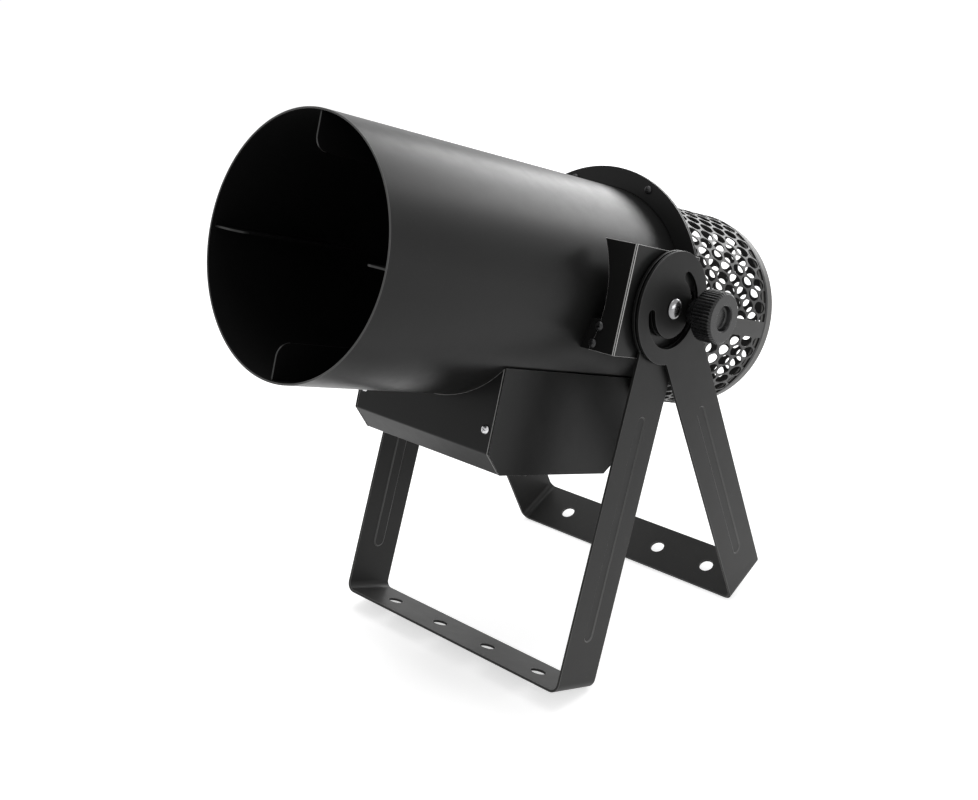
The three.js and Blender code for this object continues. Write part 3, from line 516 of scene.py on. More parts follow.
def loop(mesh, points, place):
    """Adds a closed line of edges, and gives its vertices and edges"""
    vertices = [mesh.verts.new(place(u, v)) for u, v in points]
    edges = [mesh.edges.new((vertices[k - 1], vertices[k])) for k in range(len(vertices))]
    return vertices, edges


def sheet(mesh, outline, holes, place):
    """Fills a flat outline round its holes, and gives the vertices of each loop"""
    rings = []
    edges = []
    for points in [outline, *holes]:
        ring_vertices, ring_edges = loop(mesh, points, place)
        rings.append(ring_vertices)
        edges.extend(ring_edges)
    bmesh.ops.triangle_fill(mesh, use_beauty=True, edges=edges)
    return rings


def bridge(mesh, first, second, material_index=0):
    """Joins two closed loops of equal count with quads"""
    for k in range(len(first)):
        face = mesh.faces.new((first[k - 1], first[k], second[k], second[k - 1]))
        face.material_index = material_index


def upright(u, v, y):
    """The place of an outline drawn in x and z, at a level along y"""
    return (u, y, v)


def prism(mesh, outline, holes, low, high, place=upright):
    """A solid of one outline between two levels; place takes (u, v, level)"""
    bottom = sheet(mesh, outline, holes, lambda u, v: place(u, v, low))
    top = sheet(mesh, outline, holes, lambda u, v: place(u, v, high))
    for first, second in zip(bottom, top):
        bridge(mesh, first, second)


def quad(mesh, corners):
    return mesh.faces.new([mesh.verts.new(corner) for corner in corners])


def lathe(mesh, profile, sides, relief=None):
    """Revolves (radius, y) points about the y axis; relief(angle, radius, y) sinks a point"""
    rings = []
    for radius, y in profile:
        if radius < weld:
            rings.append([mesh.verts.new((0, y, 0))])
            continue
        vertices = []
        for k in range(sides):
            angle = tau * k / sides
            r = radius - (relief(angle, radius, y) if relief else 0)
            vertices.append(mesh.verts.new((r * cos(angle), y, r * sin(angle))))
        rings.append(vertices)
    for first, second in zip(rings, rings[1:]):
        if len(first) == len(second):
            bridge(mesh, first, second)
            continue
        for k in range(sides):
            if len(first) == 1:
                mesh.faces.new((first[0], second[k], second[k - 1]))
            else:
                mesh.faces.new((first[k - 1], first[k], second[0]))


def turn_section(mesh, section, rounding, steps, sides):
    """Revolves a closed section with softened corners"""
    section = soften(section, rounding, steps, closed=True)
    lathe(mesh, [*section, section[0]], sides)


def ring(mesh, inner, outer, y0, y1, sides, rounding=edge_round):
    """A square-section ring with softened edges"""
    turn_section(mesh, [(outer, y0), (outer, y1), (inner, y1), (inner, y0)], rounding, 3, sides)


def loft(mesh, sections):
    """A solid through closed sections of equal count"""
    rings = [[mesh.verts.new(point) for point in section] for section in sections]
    for first, second in zip(rings, rings[1:]):
        bridge(mesh, first, second)
    mesh.faces.new(rings[0])
    mesh.faces.new(rings[-1])


def thread(y):
    """Depth of a shank's round grooves, one pitch apart"""
    return thread_depth * (0.5 + 0.5 * cos(tau * y / thread_pitch))


def threaded(radius, y0, y1):
    """Profile points along a threaded shank"""
    count = round(4 * (y1 - y0) / thread_pitch)
    return [(radius, y0 + (y1 - y0) * k / count) for k in range(count + 1)]


def thread_between(shank, y0, y1, share=1):
    """A relief that threads the shank of one radius between two levels"""
    def relief(angle, radius, y):
        return share * thread(y) if radius == shank and y0 < y < y1 else 0

    return relief


# Pieces


def link_object(name, data):
    made = bpy.data.objects.new(name, data)
    bpy.context.scene.collection.objects.link(made)
    return made


def link_mesh(name, mesh):
    """Turns a drawn mesh into an object of the scene"""
    data = bpy.data.meshes.new(name)
    mesh.to_mesh(data)
    mesh.free()
    return link_object(name, data)


def apply_modifiers(piece):
    graph = bpy.context.evaluated_depsgraph_get()
    shape = bpy.data.meshes.new_from_object(piece.evaluated_get(graph))
    old = piece.data
    piece.modifiers.clear()
    piece.data = shape
    bpy.data.meshes.remove(old)
    shape.name = piece.name


def carve(piece, cutter, where=Matrix()):
    """Cuts a closed drawn mesh out of a piece"""
    bmesh.ops.recalc_face_normals(cutter, faces=cutter.faces)
    cutter.transform(where)
    blade = link_mesh("cutter", cutter)
    cut = piece.modifiers.new("cut", "BOOLEAN")
    cut.operation = "DIFFERENCE"
    cut.object = blade
    apply_modifiers(piece)
    bpy.data.objects.remove(blade)


def settle(piece):
    """Applies the modifiers and shades smooth between sharp edges, with flat faces kept flat"""
    apply_modifiers(piece)
    piece.data.shade_smooth()
    piece.data.set_sharp_from_angle(angle=smooth_angle)
    even = piece.modifiers.new("even", "WEIGHTED_NORMAL")
    even.keep_sharp = True
    apply_modifiers(piece)


def add_piece(name, mesh, where, body, look, slot, thickness=0, outward=None, bevel=0, edge=None):
    """Turns a drawn mesh into a piece that rides on a body; a sheet is given its thickness inwards"""
    bmesh.ops.remove_doubles(mesh, verts=mesh.verts, dist=weld)
    bmesh.ops.recalc_face_normals(mesh, faces=mesh.faces)
    if outward:
        axis = Vector(outward)
        farthest = max(mesh.faces, key=lambda face: face.calc_center_median().dot(axis))
        if farthest.normal.dot(axis) < 0:
            bmesh.ops.reverse_faces(mesh, faces=mesh.faces)
    mesh.transform(where)
    piece = link_mesh(name, mesh)
    for each in look if isinstance(look, list) else [look]:
        piece.data.materials.append(each)
    if thickness:
        solid = piece.modifiers.new("thickness", "SOLIDIFY")
        solid.thickness = thickness * mm
        solid.offset = -1
        solid.use_even_offset = True
    if bevel:
        soft = piece.modifiers.new("edges", "BEVEL")
        soft.width = bevel * mm
        soft.segments = 2
        soft.limit_method = "ANGLE"
        soft.angle_limit = bevel_angle
        if edge:
            piece.data.materials.append(edge)
            soft.material = len(piece.data.materials) - 1
    settle(piece)
    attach(piece, body)
    return piece


def dress(node, mesh, where=barrel_space, look=None, **options):
    """A finished piece that stands for one CAD node"""
    slot = slot_of_node[node]
    look = look or looks[slot]
    piece = add_piece(f"{node}_finished", mesh, where, body_of_node[node], look, slot, **options)
    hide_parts(node)
    return piece


def add_to_barrel(name, mesh, slot="powder_black", where=barrel_space, look=None, **options):
    """A finished piece on the barrel's body that has no CAD node of its own"""
    add_piece(name, mesh, where, "barrel", look or looks[slot], slot, **options)


# Materials


def new_look(name):
    material = bpy.data.materials.new(name)
    material.use_nodes = True
    tree = material.node_tree
    return material, tree, tree.nodes["Principled BSDF"]


def add_node(tree, kind, links=None, values=None, **settings):
    """A node with its settings, its fixed values and what is linked into it"""
    node = tree.nodes.new(kind)
    for key, value in settings.items():
        setattr(node, key, value)
    for key, value in (values or {}).items():
        node.inputs[key].default_value = value
    for key, source in (links or {}).items():
        tree.links.new(source, node.inputs[key])
    return node


def noise(tree, scale, detail=2, roughness=0.5, stretch=(1, 1, 1)):
    """Noise in the piece's own metres, with features about one over scale wide"""
    place = add_node(tree, "ShaderNodeTexCoord")
    mapping = add_node(tree, "ShaderNodeMapping", {"Vector": place.outputs["Object"]})
    mapping.inputs["Scale"].default_value = stretch
    texture = add_node(
        tree, "ShaderNodeTexNoise", {"Vector": mapping.outputs["Vector"]},
        {"Scale": scale, "Detail": detail, "Roughness": roughness},
    )
    return texture.outputs["Fac"]


def ranged(tree, value, low, high, from_low=0.3, from_high=0.7):
    """Maps a noise value to a range"""
    node = add_node(tree, "ShaderNodeMapRange", {"Value": value})
    node.inputs["From Min"].default_value = from_low
    node.inputs["From Max"].default_value = from_high
    node.inputs["To Min"].default_value = low
    node.inputs["To Max"].default_value = high
    return node.outputs["Result"]


def tinted(tree, factor, dark, light):
    """A colour between two, by a factor"""
    mix = add_node(tree, "ShaderNodeMix", {"Factor": factor}, data_type="RGBA")
    mix.inputs["A"].default_value = (*dark, 1)
    mix.inputs["B"].default_value = (*light, 1)
    return mix.outputs["Result"]


def mix_colors(tree, factor, first, light):
    """Lays a fixed colour over a linked one, by a factor"""
    mix = add_node(tree, "ShaderNodeMix", {"Factor": factor, "A": first}, data_type="RGBA")
    mix.inputs["B"].default_value = (*light, 1)
    return mix.outputs["Result"]


def scaled_color(tree, color, share):
    """A linked colour times a linked share"""
    node = add_node(tree, "ShaderNodeVectorMath", {0: color, 1: share}, operation="MULTIPLY")
    return node.outputs["Vector"]


def shades(color, spread):
    """A darker and a lighter shade of a colour"""
    return [tuple(c * (1 - spread) for c in color), tuple(c * (1 + spread) for c in color)]


def bump(tree, shader, height, distance, strength):
    """Raises the surface by a height value, distance in metres"""
    values = {"Strength": strength, "Distance": distance}
    node = add_node(tree, "ShaderNodeBump", {"Height": height}, values)
    tree.links.new(node.outputs["Normal"], shader.inputs["Normal"])


def by_height(tree, low, high, from_low, from_high):
    """Maps the height above the floor, at rest, to a range"""
    place = add_node(tree, "ShaderNodeTexCoord")
    parts = add_node(tree, "ShaderNodeSeparateXYZ", {"Vector": place.outputs["Object"]})
    return ranged(tree, parts.outputs["Z"], low, high, from_low, from_high)


def powder_coat(name, color, roughness, specular, grain=1500, depth=0.00004, painted_shade_up=False):
    """Satin powder coat: fine orange peel, slow shade changes, rubbed patches and a few light specks;
    optionally a painted shade that darkens it from the feet up to the discs
    """
    material, tree, shader = new_look(name)
    shader.inputs["Specular IOR Level"].default_value = specular
    base = tinted(tree, ranged(tree, noise(tree, 9, 4), 0, 1), *shades(color, 0.1))
    rub = ranged(tree, noise(tree, 55, 6, 0.7), 0, 0.3, 0.6, 0.85)
    base = mix_colors(tree, rub, base, tuple(c * 1.6 + 0.002 for c in color))
    speck = ranged(tree, noise(tree, 900, 1), 0, 0.5, 0.7, 0.78)
    base = mix_colors(tree, speck, base, tuple(c * 2.4 + 0.006 for c in color))
    # Painted shade: the colour darkens from the feet up to the disc height
    if painted_shade_up:
        base = scaled_color(tree, base, by_height(tree, 1, disc_painted_shade, foot_height, disc_height))
    tree.links.new(base, shader.inputs["Base Color"])
    rough = ranged(tree, noise(tree, 70, 5, 0.6), roughness - 0.02, roughness + 0.03)
    tree.links.new(rough, shader.inputs["Roughness"])
    bump(tree, shader, noise(tree, grain, 2, 0.55), depth, 0.5)
    return material


def surface(name, color, fixed, spread, patches, gloss, rough, grain, depth, strength):
    """Slow colour changes, zones between two roughnesses and a raised grain, from three noises"""
    material, tree, shader = new_look(name)
    for socket, value in fixed.items():
        shader.inputs[socket].default_value = value
    base = tinted(tree, ranged(tree, noise(tree, *patches), 0, 1), *shades(color, spread))
    tree.links.new(base, shader.inputs["Base Color"])
    tree.links.new(ranged(tree, noise(tree, *gloss), *rough), shader.inputs["Roughness"])
    bump(tree, shader, noise(tree, *grain), depth, strength)
    return material


def moulded_plastic(name, color):
    """Moulded plastic: a fine etched texture with shinier rubbed zones"""
    return surface(
        name, color, {"Specular IOR Level": 0.36}, spread=0.15, patches=(160, 3),
        gloss=(120, 4, 0.6), rough=(0.24, 0.32), grain=(2600, 2), depth=0.00004, strength=0.45,
    )


def plated_steel(name, color, low, high):
    """Plated or polished steel with faint turning marks and stains"""
    return surface(
        name, color, {"Metallic": 1}, spread=0.08, patches=(240, 4),
        gloss=(320, 4, 0.65), rough=(low, high), grain=(1800, 3, 0.6), depth=0.00002, strength=0.35,
    )


def black_oxide(name, color):
    """Blackened steel with a thin oily sheen"""
    return surface(
        name, color, {"Metallic": 0.6, "Specular IOR Level": 0.5}, spread=0.25, patches=(420, 3),
        gloss=(500, 3), rough=(0.24, 0.38), grain=(1500, 2), depth=0.00003, strength=0.3,
    )


def cast_metal(name, color):
    """Cast aluminium: grainy skin with dull and bright patches"""
    return surface(
        name, color, {"Metallic": 0.9}, spread=0.14, patches=(60, 5),
        gloss=(90, 4), rough=(0.42, 0.62), grain=(900, 4, 0.6), depth=0.00015, strength=0.5,
    )


def dull(name, color, roughness, grain, depth):
    """Rubber, nylon or fibre: even and matt with a fine grain"""
    return surface(
        name, color, {"Specular IOR Level": 0.3}, spread=0.2, patches=(130, 4), gloss=(200, 3),
        rough=(roughness - 0.07, roughness + 0.07), grain=(grain, 3), depth=depth, strength=0.5,
    )


def solder_mask(name, color):
    """Green lacquer over copper tracks"""
    material, tree, shader = new_look(name)
    shader.inputs["Specular IOR Level"].default_value = 0.5
    shader.inputs["Coat Weight"].default_value = 0.4
    tracks = ranged(tree, noise(tree, 260, 0, 0.5, (1, 0.25, 1)), 0, 1, 0.48, 0.52)
    tree.links.new(tinted(tree, tracks, *shades(color, 0.3)), shader.inputs["Base Color"])
    rough = ranged(tree, noise(tree, 150, 2), 0.28, 0.4)
    tree.links.new(rough, shader.inputs["Roughness"])
    bump(tree, shader, tracks, 0.00006, 0.6)
    return material


def laminated_iron(name, color):
    """A stack of varnished iron sheets, seen as fine lines"""
    material, tree, shader = new_look(name)
    shader.inputs["Metallic"].default_value = 0.5
    layers = noise(tree, 1400, 1, 0.5, (0.02, 0.02, 1))
    base = tinted(tree, ranged(tree, layers, 0, 1), *shades(color, 0.3))
    tree.links.new(base, shader.inputs["Base Color"])
    rough = ranged(tree, noise(tree, 90, 3), 0.4, 0.6)
    tree.links.new(rough, shader.inputs["Roughness"])
    bump(tree, shader, layers, 0.0001, 0.5)
    return material


looks = {
    "powder_black": powder_coat("powder_black_look", (0.007, 0.007, 0.0069), 0.34, 0.17),
    "cage_black": powder_coat("cage_black_look", (0.02, 0.0196, 0.0192), 0.42, 0.32, grain=1300),
    "ring_grey": powder_coat("ring_grey_look", (0.1, 0.098, 0.095), 0.45, 0.4, grain=1300),
    "dark_plastic": moulded_plastic("dark_plastic_look", (0.008, 0.008, 0.0084)),
    "bright_steel": plated_steel("bright_steel_look", (0.6, 0.6, 0.61), 0.16, 0.3),
    "black_steel": black_oxide("black_steel_look", (0.035, 0.035, 0.036)),
    "cast_aluminium": cast_metal("cast_aluminium_look", (0.42, 0.43, 0.44)),
    "washer_nylon": dull("washer_nylon_look", (0.028, 0.027, 0.026), 0.6, 1600, 0.00003),
    "board_green": solder_mask("board_green_look", (0.012, 0.09, 0.03)),
    "transformer_iron": laminated_iron("transformer_iron_look", (0.14, 0.13, 0.12)),
    "grommet_rubber": dull("grommet_rubber_look", (0.012, 0.012, 0.012), 0.75, 1200, 0.00004),
}
# Yokes: a lighter copy of the black coat that stands in for the stronger light on the legs, with painted
# shade towards the discs
yoke_lit_and_shaded = powder_coat("yoke_painted_light_look", (0.03, 0.0298, 0.0292), 0.42, 0.15, painted_shade_up=True)
# Light colour for thin edges, bead walls and the fins' leading edges: painted highlight lines, with the
# same painted shade towards the discs
grey_edge_painted_highlight = powder_coat("thin_edge_painted_light_look", (0.1, 0.0994, 0.0978), 0.34, 0.3, painted_shade_up=True)
# Light grey for bevels and bend steps: painted highlight lines
bevel_painted_highlight = powder_coat("rubbed_edge_look", (0.42, 0.417, 0.41), 0.3, 0.5)
# Lighter black for the muzzle's rounded lip: a painted highlight rim
lip_painted_highlight = powder_coat("muzzle_rim_painted_light_look", (0.05, 0.0497, 0.0488), 0.34, 0.4)
# Near black, matt and dull for the barrel's inside and the fins' faces: painted shade
inside_painted_shade = powder_coat("barrel_interior_painted_shade_look", (0.004, 0.004, 0.004), 0.6, 0.1)
# Polished steel darker than the bright steel: a painted reflection of darker surroundings on the pivot
# bolts' domes
bolt_dome_painted_reflection = plated_steel("polished_bolt_look", (0.24, 0.24, 0.245), 0.16, 0.26)
mark_white = dull("mark_white_look", (0.7, 0.7, 0.69), 0.5, 900, 0.00001)


# Barrel


def barrel_tube():
    mesh = bmesh.new()
    ring(mesh, barrel_inner, barrel_radius, barrel_muzzle, barrel_rear, barrel_sides, lip_round)
    # Inner faces take painted shade, and the faces of the muzzle's rounded lip a painted highlight rim
    for face in mesh.faces:
        middle = face.calc_center_median()
        inside = hypot(middle.x, middle.z) < barrel_inner + weld
        face.material_index = 1 if inside else 0
        if middle.y < barrel_muzzle + lip_round:
            face.material_index = 2
    dress("barrel_tube", mesh, barrel_space, [looks["powder_black"], inside_painted_shade, lip_painted_highlight])


def barrel_lugs():
    """Lugs welded to the barrel behind the brackets' front webs"""
    rim = barrel_radius - barrel_wall / 2
    low = lug_top - lug_height
    reach = barrel_radius + lug_reach
    outline = arc(0, 0, rim, asin(low / rim), asin(lug_top / rim), bend_steps)
    outline += [(reach, lug_top), (reach, low)]
    for side, word in both_sides:
        mesh = bmesh.new()
        prism(
            mesh, outline, [], lug_front, lug_front + lug_length,
            lambda u, v, y, side=side: (side * u, y, v),
        )
        add_to_barrel(f"barrel_lug_{word}", mesh, bevel=edge_round)


def muzzle_fins():
    outer = barrel_inner - seat_gap
    inner = outer - fin_height
    y0 = barrel_muzzle + fin_setback
    y1 = y0 + fin_length
    outline = [(outer, y0), (outer, y1), (inner, y1)]
    outline += arc(inner + fin_corner, y0 + fin_corner, fin_corner, pi, 1.5 * pi, bend_steps)
    for turn, word in enumerate(("right", "top", "left", "bottom")):
        mesh = bmesh.new()
        half = fin_thickness / 2
        prism(mesh, outline, [], -half, half, lambda u, v, z: (u, v, z))
        mesh.normal_update()
        # Fin faces take painted shade; their leading edge faces take a painted highlight line
        for face in mesh.faces:
            middle = face.calc_center_median()
            leading = abs(face.normal.z) < 0.5 and middle.y < y0 + fin_corner and middle.x < outer - weld
            face.material_index = 1 if leading else 0
        where = on_barrel(0, 0, 0, -turn * tau / fin_count)
        dress(f"muzzle_fin_{word}", mesh, where, [inside_painted_shade, grey_edge_painted_highlight])


def flange_places():
    for k in range(flange_screw_count):
        angle = flange_screw_turn + k * tau / flange_screw_count
        yield flange_screw_radius * cos(angle), flange_screw_radius * sin(angle)


def flange_plate(inner, y0):
    """A round plate with its screw holes"""
    mesh = bmesh.new()
    holes = [circle(0, 0, inner, plate_sides)]
    holes += [circle(x, z, screw_radius + seat_gap, screw_hole_sides) for x, z in flange_places()]
    outline = circle(0, 0, flange_radius, barrel_sides)
    prism(mesh, outline, holes, y0, y0 + flange_thickness)
    return mesh


def flanges():
    front = flange_plate(barrel_radius + seat_gap, flange_front)
    dress("barrel_flange", front, bevel=plate_bevel)
    rear = flange_plate(cage_radius - cage_wall, cage_front)
    add_to_barrel("cage_flange", rear, bevel=fine_bevel)


# Intake cage


def on_cage(u, y):
    angle = u + cage_row_turn
    return (cage_radius * cos(angle), y, cage_radius * sin(angle))


def cell_corners(low, high):
    """A hexagon, or at an end of the cage a cell that runs on to that end"""
    half = cage_pitch / 2
    flat = tau / cage_rows * cage_flat_share
    side = tau / cage_rows - flat

    def end(reach):
        if reach < half:
            return [(side, reach), (-side, reach)]
        if reach > half:
            return [(flat, half), (flat, reach), (-flat, reach), (-flat, half)]
        return [(flat, half), (-flat, half)]

    return [(side, 0), *end(high), (-side, 0), *[(-u, -v) for u, v in end(-low)]]


def cage_cell(mesh, u, y, low=-cage_pitch / 2, high=cage_pitch / 2):
    """A cell of the cage's sheet with an oval hole that stops short of the cage's ends"""
    corners = cell_corners(low, high)
    lowest = cage_front + cage_margin_front
    highest = cage_rear - cage_margin_rear
    rim = []
    hole = []
    for k, (a, b) in enumerate(corners):
        c, d = corners[(k + 1) % len(corners)]
        for step in range(cage_cell_steps):
            t = step / cage_cell_steps
            across = a + (c - a) * t
            along = b + (d - b) * t
            rim.append(mesh.verts.new(on_cage(u + across, y + along)))
            angle = atan2(2 * along / cage_pitch, across * cage_rows / tau)
            reach = cage_hole_width / 2 * cos(angle) / cage_radius
            level = y + cage_hole_length / 2 * sin(angle)
            hole.append(mesh.verts.new(on_cage(u + reach, min(max(level, lowest), highest))))
    bridge(mesh, rim, hole)


def intake_cage():
    mesh = bmesh.new()
    half = cage_pitch / 2
    first_end = cage_first_hole - half
    last_end = first_end + cage_holes_in_row * cage_pitch
    for row in range(cage_rows):
        odd = row % 2
        u = row * tau / cage_rows
        if odd:
            cage_cell(mesh, u, first_end, low=cage_front - first_end)
            cage_cell(mesh, u, last_end, high=cage_rear - last_end)
        for k in range(cage_holes_in_row - odd):
            y = cage_first_hole + (k + odd / 2) * cage_pitch
            low = -half if odd or k > 0 else cage_front - y
            high = half if odd or k < cage_holes_in_row - 1 else cage_rear - y
            cage_cell(mesh, u, y, low, high)
    dress("intake_cage", mesh, thickness=cage_wall, outward=(1, 0, 0))


def cage_trim():
    """The plain strip over the cage's seam and the hem round its rear edge"""
    mesh = bmesh.new()
    y0 = cage_front + flange_thickness + seat_gap
    low = arc(0, 0, cage_radius, strip_low, strip_high, strip_steps)
    high = arc(0, 0, cage_radius + strip_rise, strip_high, strip_low, strip_steps)
    prism(mesh, low + high, [], y0, cage_rear - hem_width)
    add_to_barrel("cage_seam_strip", mesh, "cage_black", bevel=hair_bevel)
    hem = bmesh.new()
    inner = cage_radius - cage_wall / 2
    ring(hem, inner, cage_radius + hem_rise, cage_rear - hem_width, cage_rear + seat_gap, barrel_sides)
    # The hem takes the barrel's darker black: painted shade along the cage's rear edge
    add_to_barrel("cage_hem", hem, "cage_black", look=looks["powder_black"])


def rear_ring():
    mesh = bmesh.new()
    inner = ring_radius - ring_wall
    y0 = ring_rear - ring_width
    section = [
        (ring_radius, y0),
        (ring_radius, ring_rear),
        (inner - ring_lip, ring_rear),
        (inner - ring_lip, ring_rear - ring_wall),
        (inner, ring_rear - ring_wall),
        (inner, y0),
    ]
    turn_section(mesh, section, ring_round, 4, barrel_sides)
    dress("cage_rear_ring", mesh)


def mesh_holes(field):
    """Staggered holes inside a round field"""
    holes = []
    rows = int(field / mesh_pitch_z)
    columns = int(field / mesh_pitch_x) + 1
    for row in range(-rows, rows + 1):
        for column in range(-columns, columns + 1):
            x = (column + (row % 2) / 2) * mesh_pitch_x
            z = row * mesh_pitch_z
            if hypot(x, z) + mesh_hole_radius < field:
                holes.append(circle(x, z, mesh_hole_radius, mesh_hole_sides))
    return holes


def rear_guard():
    mesh = bmesh.new()
    radius = ring_radius - ring_wall - seat_gap
    y0 = ring_rear - ring_wall - seat_gap - guard_thickness
    outline = circle(0, 0, radius, plate_sides)
    holes = mesh_holes(radius - guard_border)
    prism(mesh, outline, holes, y0, y0 + guard_thickness)
    dress("rear_guard", mesh)


def confetti_screen():
    mesh = bmesh.new()
    outer = barrel_inner - seat_gap
    y1 = screen_front + screen_thickness
    outline = circle(0, 0, outer - edge_round, plate_sides)
    holes = mesh_holes(outer - screen_thickness - screen_border)
    prism(mesh, outline, holes, screen_front, y1)
    band_rear = screen_front + screen_band
    ring(mesh, outer - screen_thickness, outer, y1 - edge_round, band_rear, plate_sides)
    dress("confetti_screen", mesh)


# Fan


def blade_section(t):
    """One section of a blade, at a share of the way from root to tip, wrapped round the axis"""
    root = hub_radius - blade_sink
    radius = root + (blade_tip_radius - root) * t
    chord = blade_root_chord + (blade_tip_chord - blade_root_chord) * t
    pitch = blade_root_pitch + (blade_tip_pitch - blade_root_pitch) * t
    upper = []
    lower = []
    for k in range(blade_points + 1):
        x = -1 + 2 * k / blade_points
        camber = chord * blade_camber_share * (1 - x * x)
        half = blade_thickness / 2 * sqrt(max(0, 1 - x**4)) + blade_edge_half
        upper.append((x * chord / 2, camber + half))
        lower.append((x * chord / 2, camber - half))
    points = []
    for u, v in upper + lower[::-1]:
        y = u * sin(pitch) + v * cos(pitch)
        z = u * cos(pitch) - v * sin(pitch)
        points.append((radius * cos(z / radius), y, radius * sin(z / radius)))
    return points


def impeller():
    mesh = bmesh.new()
    y1 = hub_front + hub_length
    bore = shaft_radius + seat_gap
    hub = [
        (bore, hub_front),
        (bore + hub_boss, hub_front),
        (bore + hub_boss + hub_draft, hub_front + hub_boss_rise),
        (hub_radius - hub_nose, hub_front + hub_boss_rise),
        (hub_radius, hub_front + hub_nose),
        (hub_radius, y1),
        (hub_radius - hub_wall, y1),
        (hub_radius - hub_wall, y1 - hub_hollow),
        (bore + hub_sleeve + hub_draft, y1 - hub_hollow),
        (bore + hub_sleeve, y1),
        (bore, y1),
    ]
    turn_section(mesh, hub, hub_round, 4, turned_sides)
    middle = hub_front + hub_length / 2
    for k in range(blade_count):
        turn = Matrix.Rotation(tau * k / blade_count, 3, "Y")
        sections = []
        for station in range(blade_stations + 1):
            points = blade_section(station / blade_stations)
            sections.append([turn @ Vector((x, y + middle, z)) for x, y, z in points])
        loft(mesh, sections)
    dress("impeller", mesh)


def motor_shaft():
    mesh = bmesh.new()
    tip = shaft_radius - shaft_chamfer
    profile = [(0, shaft_front), (tip, shaft_front)]
    profile += threaded(shaft_radius, shaft_front + shaft_chamfer, hub_front)
    profile += [(shaft_radius, shaft_rear - shaft_chamfer), (tip, shaft_rear), (0, shaft_rear)]
    lathe(mesh, profile, shaft_sides, thread_between(shaft_radius, shaft_front, hub_front))
    dress("motor_shaft", mesh)


def hex_nut(radius, bore, y0, y1):
    mesh = bmesh.new()
    prism(mesh, circle(0, 0, radius, 6), [circle(0, 0, bore, shaft_sides)], y0, y1)
    return mesh


def fan_motor():
    mesh = bmesh.new()
    y0 = motor_front
    y1 = y0 + motor_length
    bore = shaft_radius + seat_gap
    nose = y0 + motor_nose_height
    groove = motor_radius - motor_groove
    ribs_from = mount_front + mount_width + motor_rib_margin_front
    ribs_to = y1 - motor_cap - motor_rib_margin_rear
    ring_floor = motor_ring_half - motor_ring_depth
    profile = [
        (0, nose + motor_bore_reach),
        (bore, nose + motor_bore_reach),
        (bore, y0),
        (motor_nose_radius - motor_nose_land, y0),
        (motor_nose_radius, y0 + motor_nose_slope),
        (motor_nose_radius, nose),
        (motor_radius - motor_cap, nose),
        (motor_radius, nose + motor_cap),
        (motor_radius, ribs_from - motor_groove),
        (groove, ribs_from),
        (groove, ribs_from + motor_groove),
        (motor_radius, ribs_from + 2 * motor_groove),
        (motor_radius, ribs_to),
        (groove, ribs_to + motor_groove),
        (motor_radius, ribs_to + 3 * motor_groove),
        (motor_radius, y1 - motor_cap),
        (motor_radius - motor_cap, y1),
        (motor_nose_radius + motor_ring_half, y1),
        (motor_nose_radius + ring_floor, y1 - motor_ring_depth),
        (motor_nose_radius - ring_floor, y1 - motor_ring_depth),
        (motor_nose_radius - motor_ring_half, y1),
        (0, y1),
    ]

    def relief(angle, radius, y):
        along = ribs_from + 1.5 * motor_groove < y < ribs_to + motor_groove / 2
        ribbed = along and radius > motor_radius - motor_groove / 2
        return motor_rib_depth * (cos(motor_rib_count * angle) > motor_rib_level) if ribbed else 0

    lathe(mesh, soften(profile, motor_round, 4), 6 * motor_rib_count, relief)
    dress("fan_motor", mesh)


def motor_mount():
    """A ring round the motor with arms and feet that reach the barrel"""
    mesh = bmesh.new()
    inner = motor_radius + seat_gap
    outer = inner + mount_wall
    foot_inner = barrel_inner - mount_wall
    foot_outer = barrel_inner - seat_gap
    half_arm = mount_wall / 2
    foot_turn = asin(mount_foot_width / 2 / foot_inner)
    outline = []
    for k in range(mount_arm_count):
        middle = (k + 0.5) * tau / mount_arm_count
        ring_turn = asin(half_arm / outer)
        arm_turn = asin(half_arm / foot_inner)
        outline += arc(0, 0, foot_inner, middle - arm_turn, middle - foot_turn, mount_side_steps)
        outline += arc(0, 0, foot_outer, middle - foot_turn, middle + foot_turn, mount_foot_steps)
        outline += arc(0, 0, foot_inner, middle + foot_turn, middle + arm_turn, mount_side_steps)
        following = middle + tau / mount_arm_count
        outline += arc(0, 0, outer, middle + ring_turn, following - ring_turn, mount_ring_steps)
    hole = circle(0, 0, inner, turned_sides)
    prism(mesh, outline, [hole], mount_front, mount_front + mount_width)
    dress("motor_mount", mesh, bevel=edge_round)


def fan():
    impeller()
    motor_shaft()
    nut_rear = hub_front - seat_gap
    mesh = hex_nut(nut_radius, shaft_radius + seat_gap, nut_rear - nut_height, nut_rear)
    dress("impeller_nut", mesh, bevel=sheet_bevel)
    fan_motor()
    motor_mount()


def grommet():
    mesh = bmesh.new()
    inside = -barrel_inner + seat_gap
    outside = -barrel_radius - seat_gap
    section = [
        (grommet_bore, outside - grommet_lip),
        (grommet_radius, outside - grommet_lip),
        (grommet_radius, outside),
        (grommet_hole_radius, outside),
        (grommet_hole_radius, inside),
        (grommet_radius, inside),
        (grommet_radius, inside + grommet_lip),
        (grommet_bore, inside + grommet_lip),
    ]
    turn_section(mesh, section, grommet_round, 4, small_turned_sides)
    dress("cable_grommet", mesh, on_barrel(0, grommet_y, 0, pi / 2, "X"))


# Screws


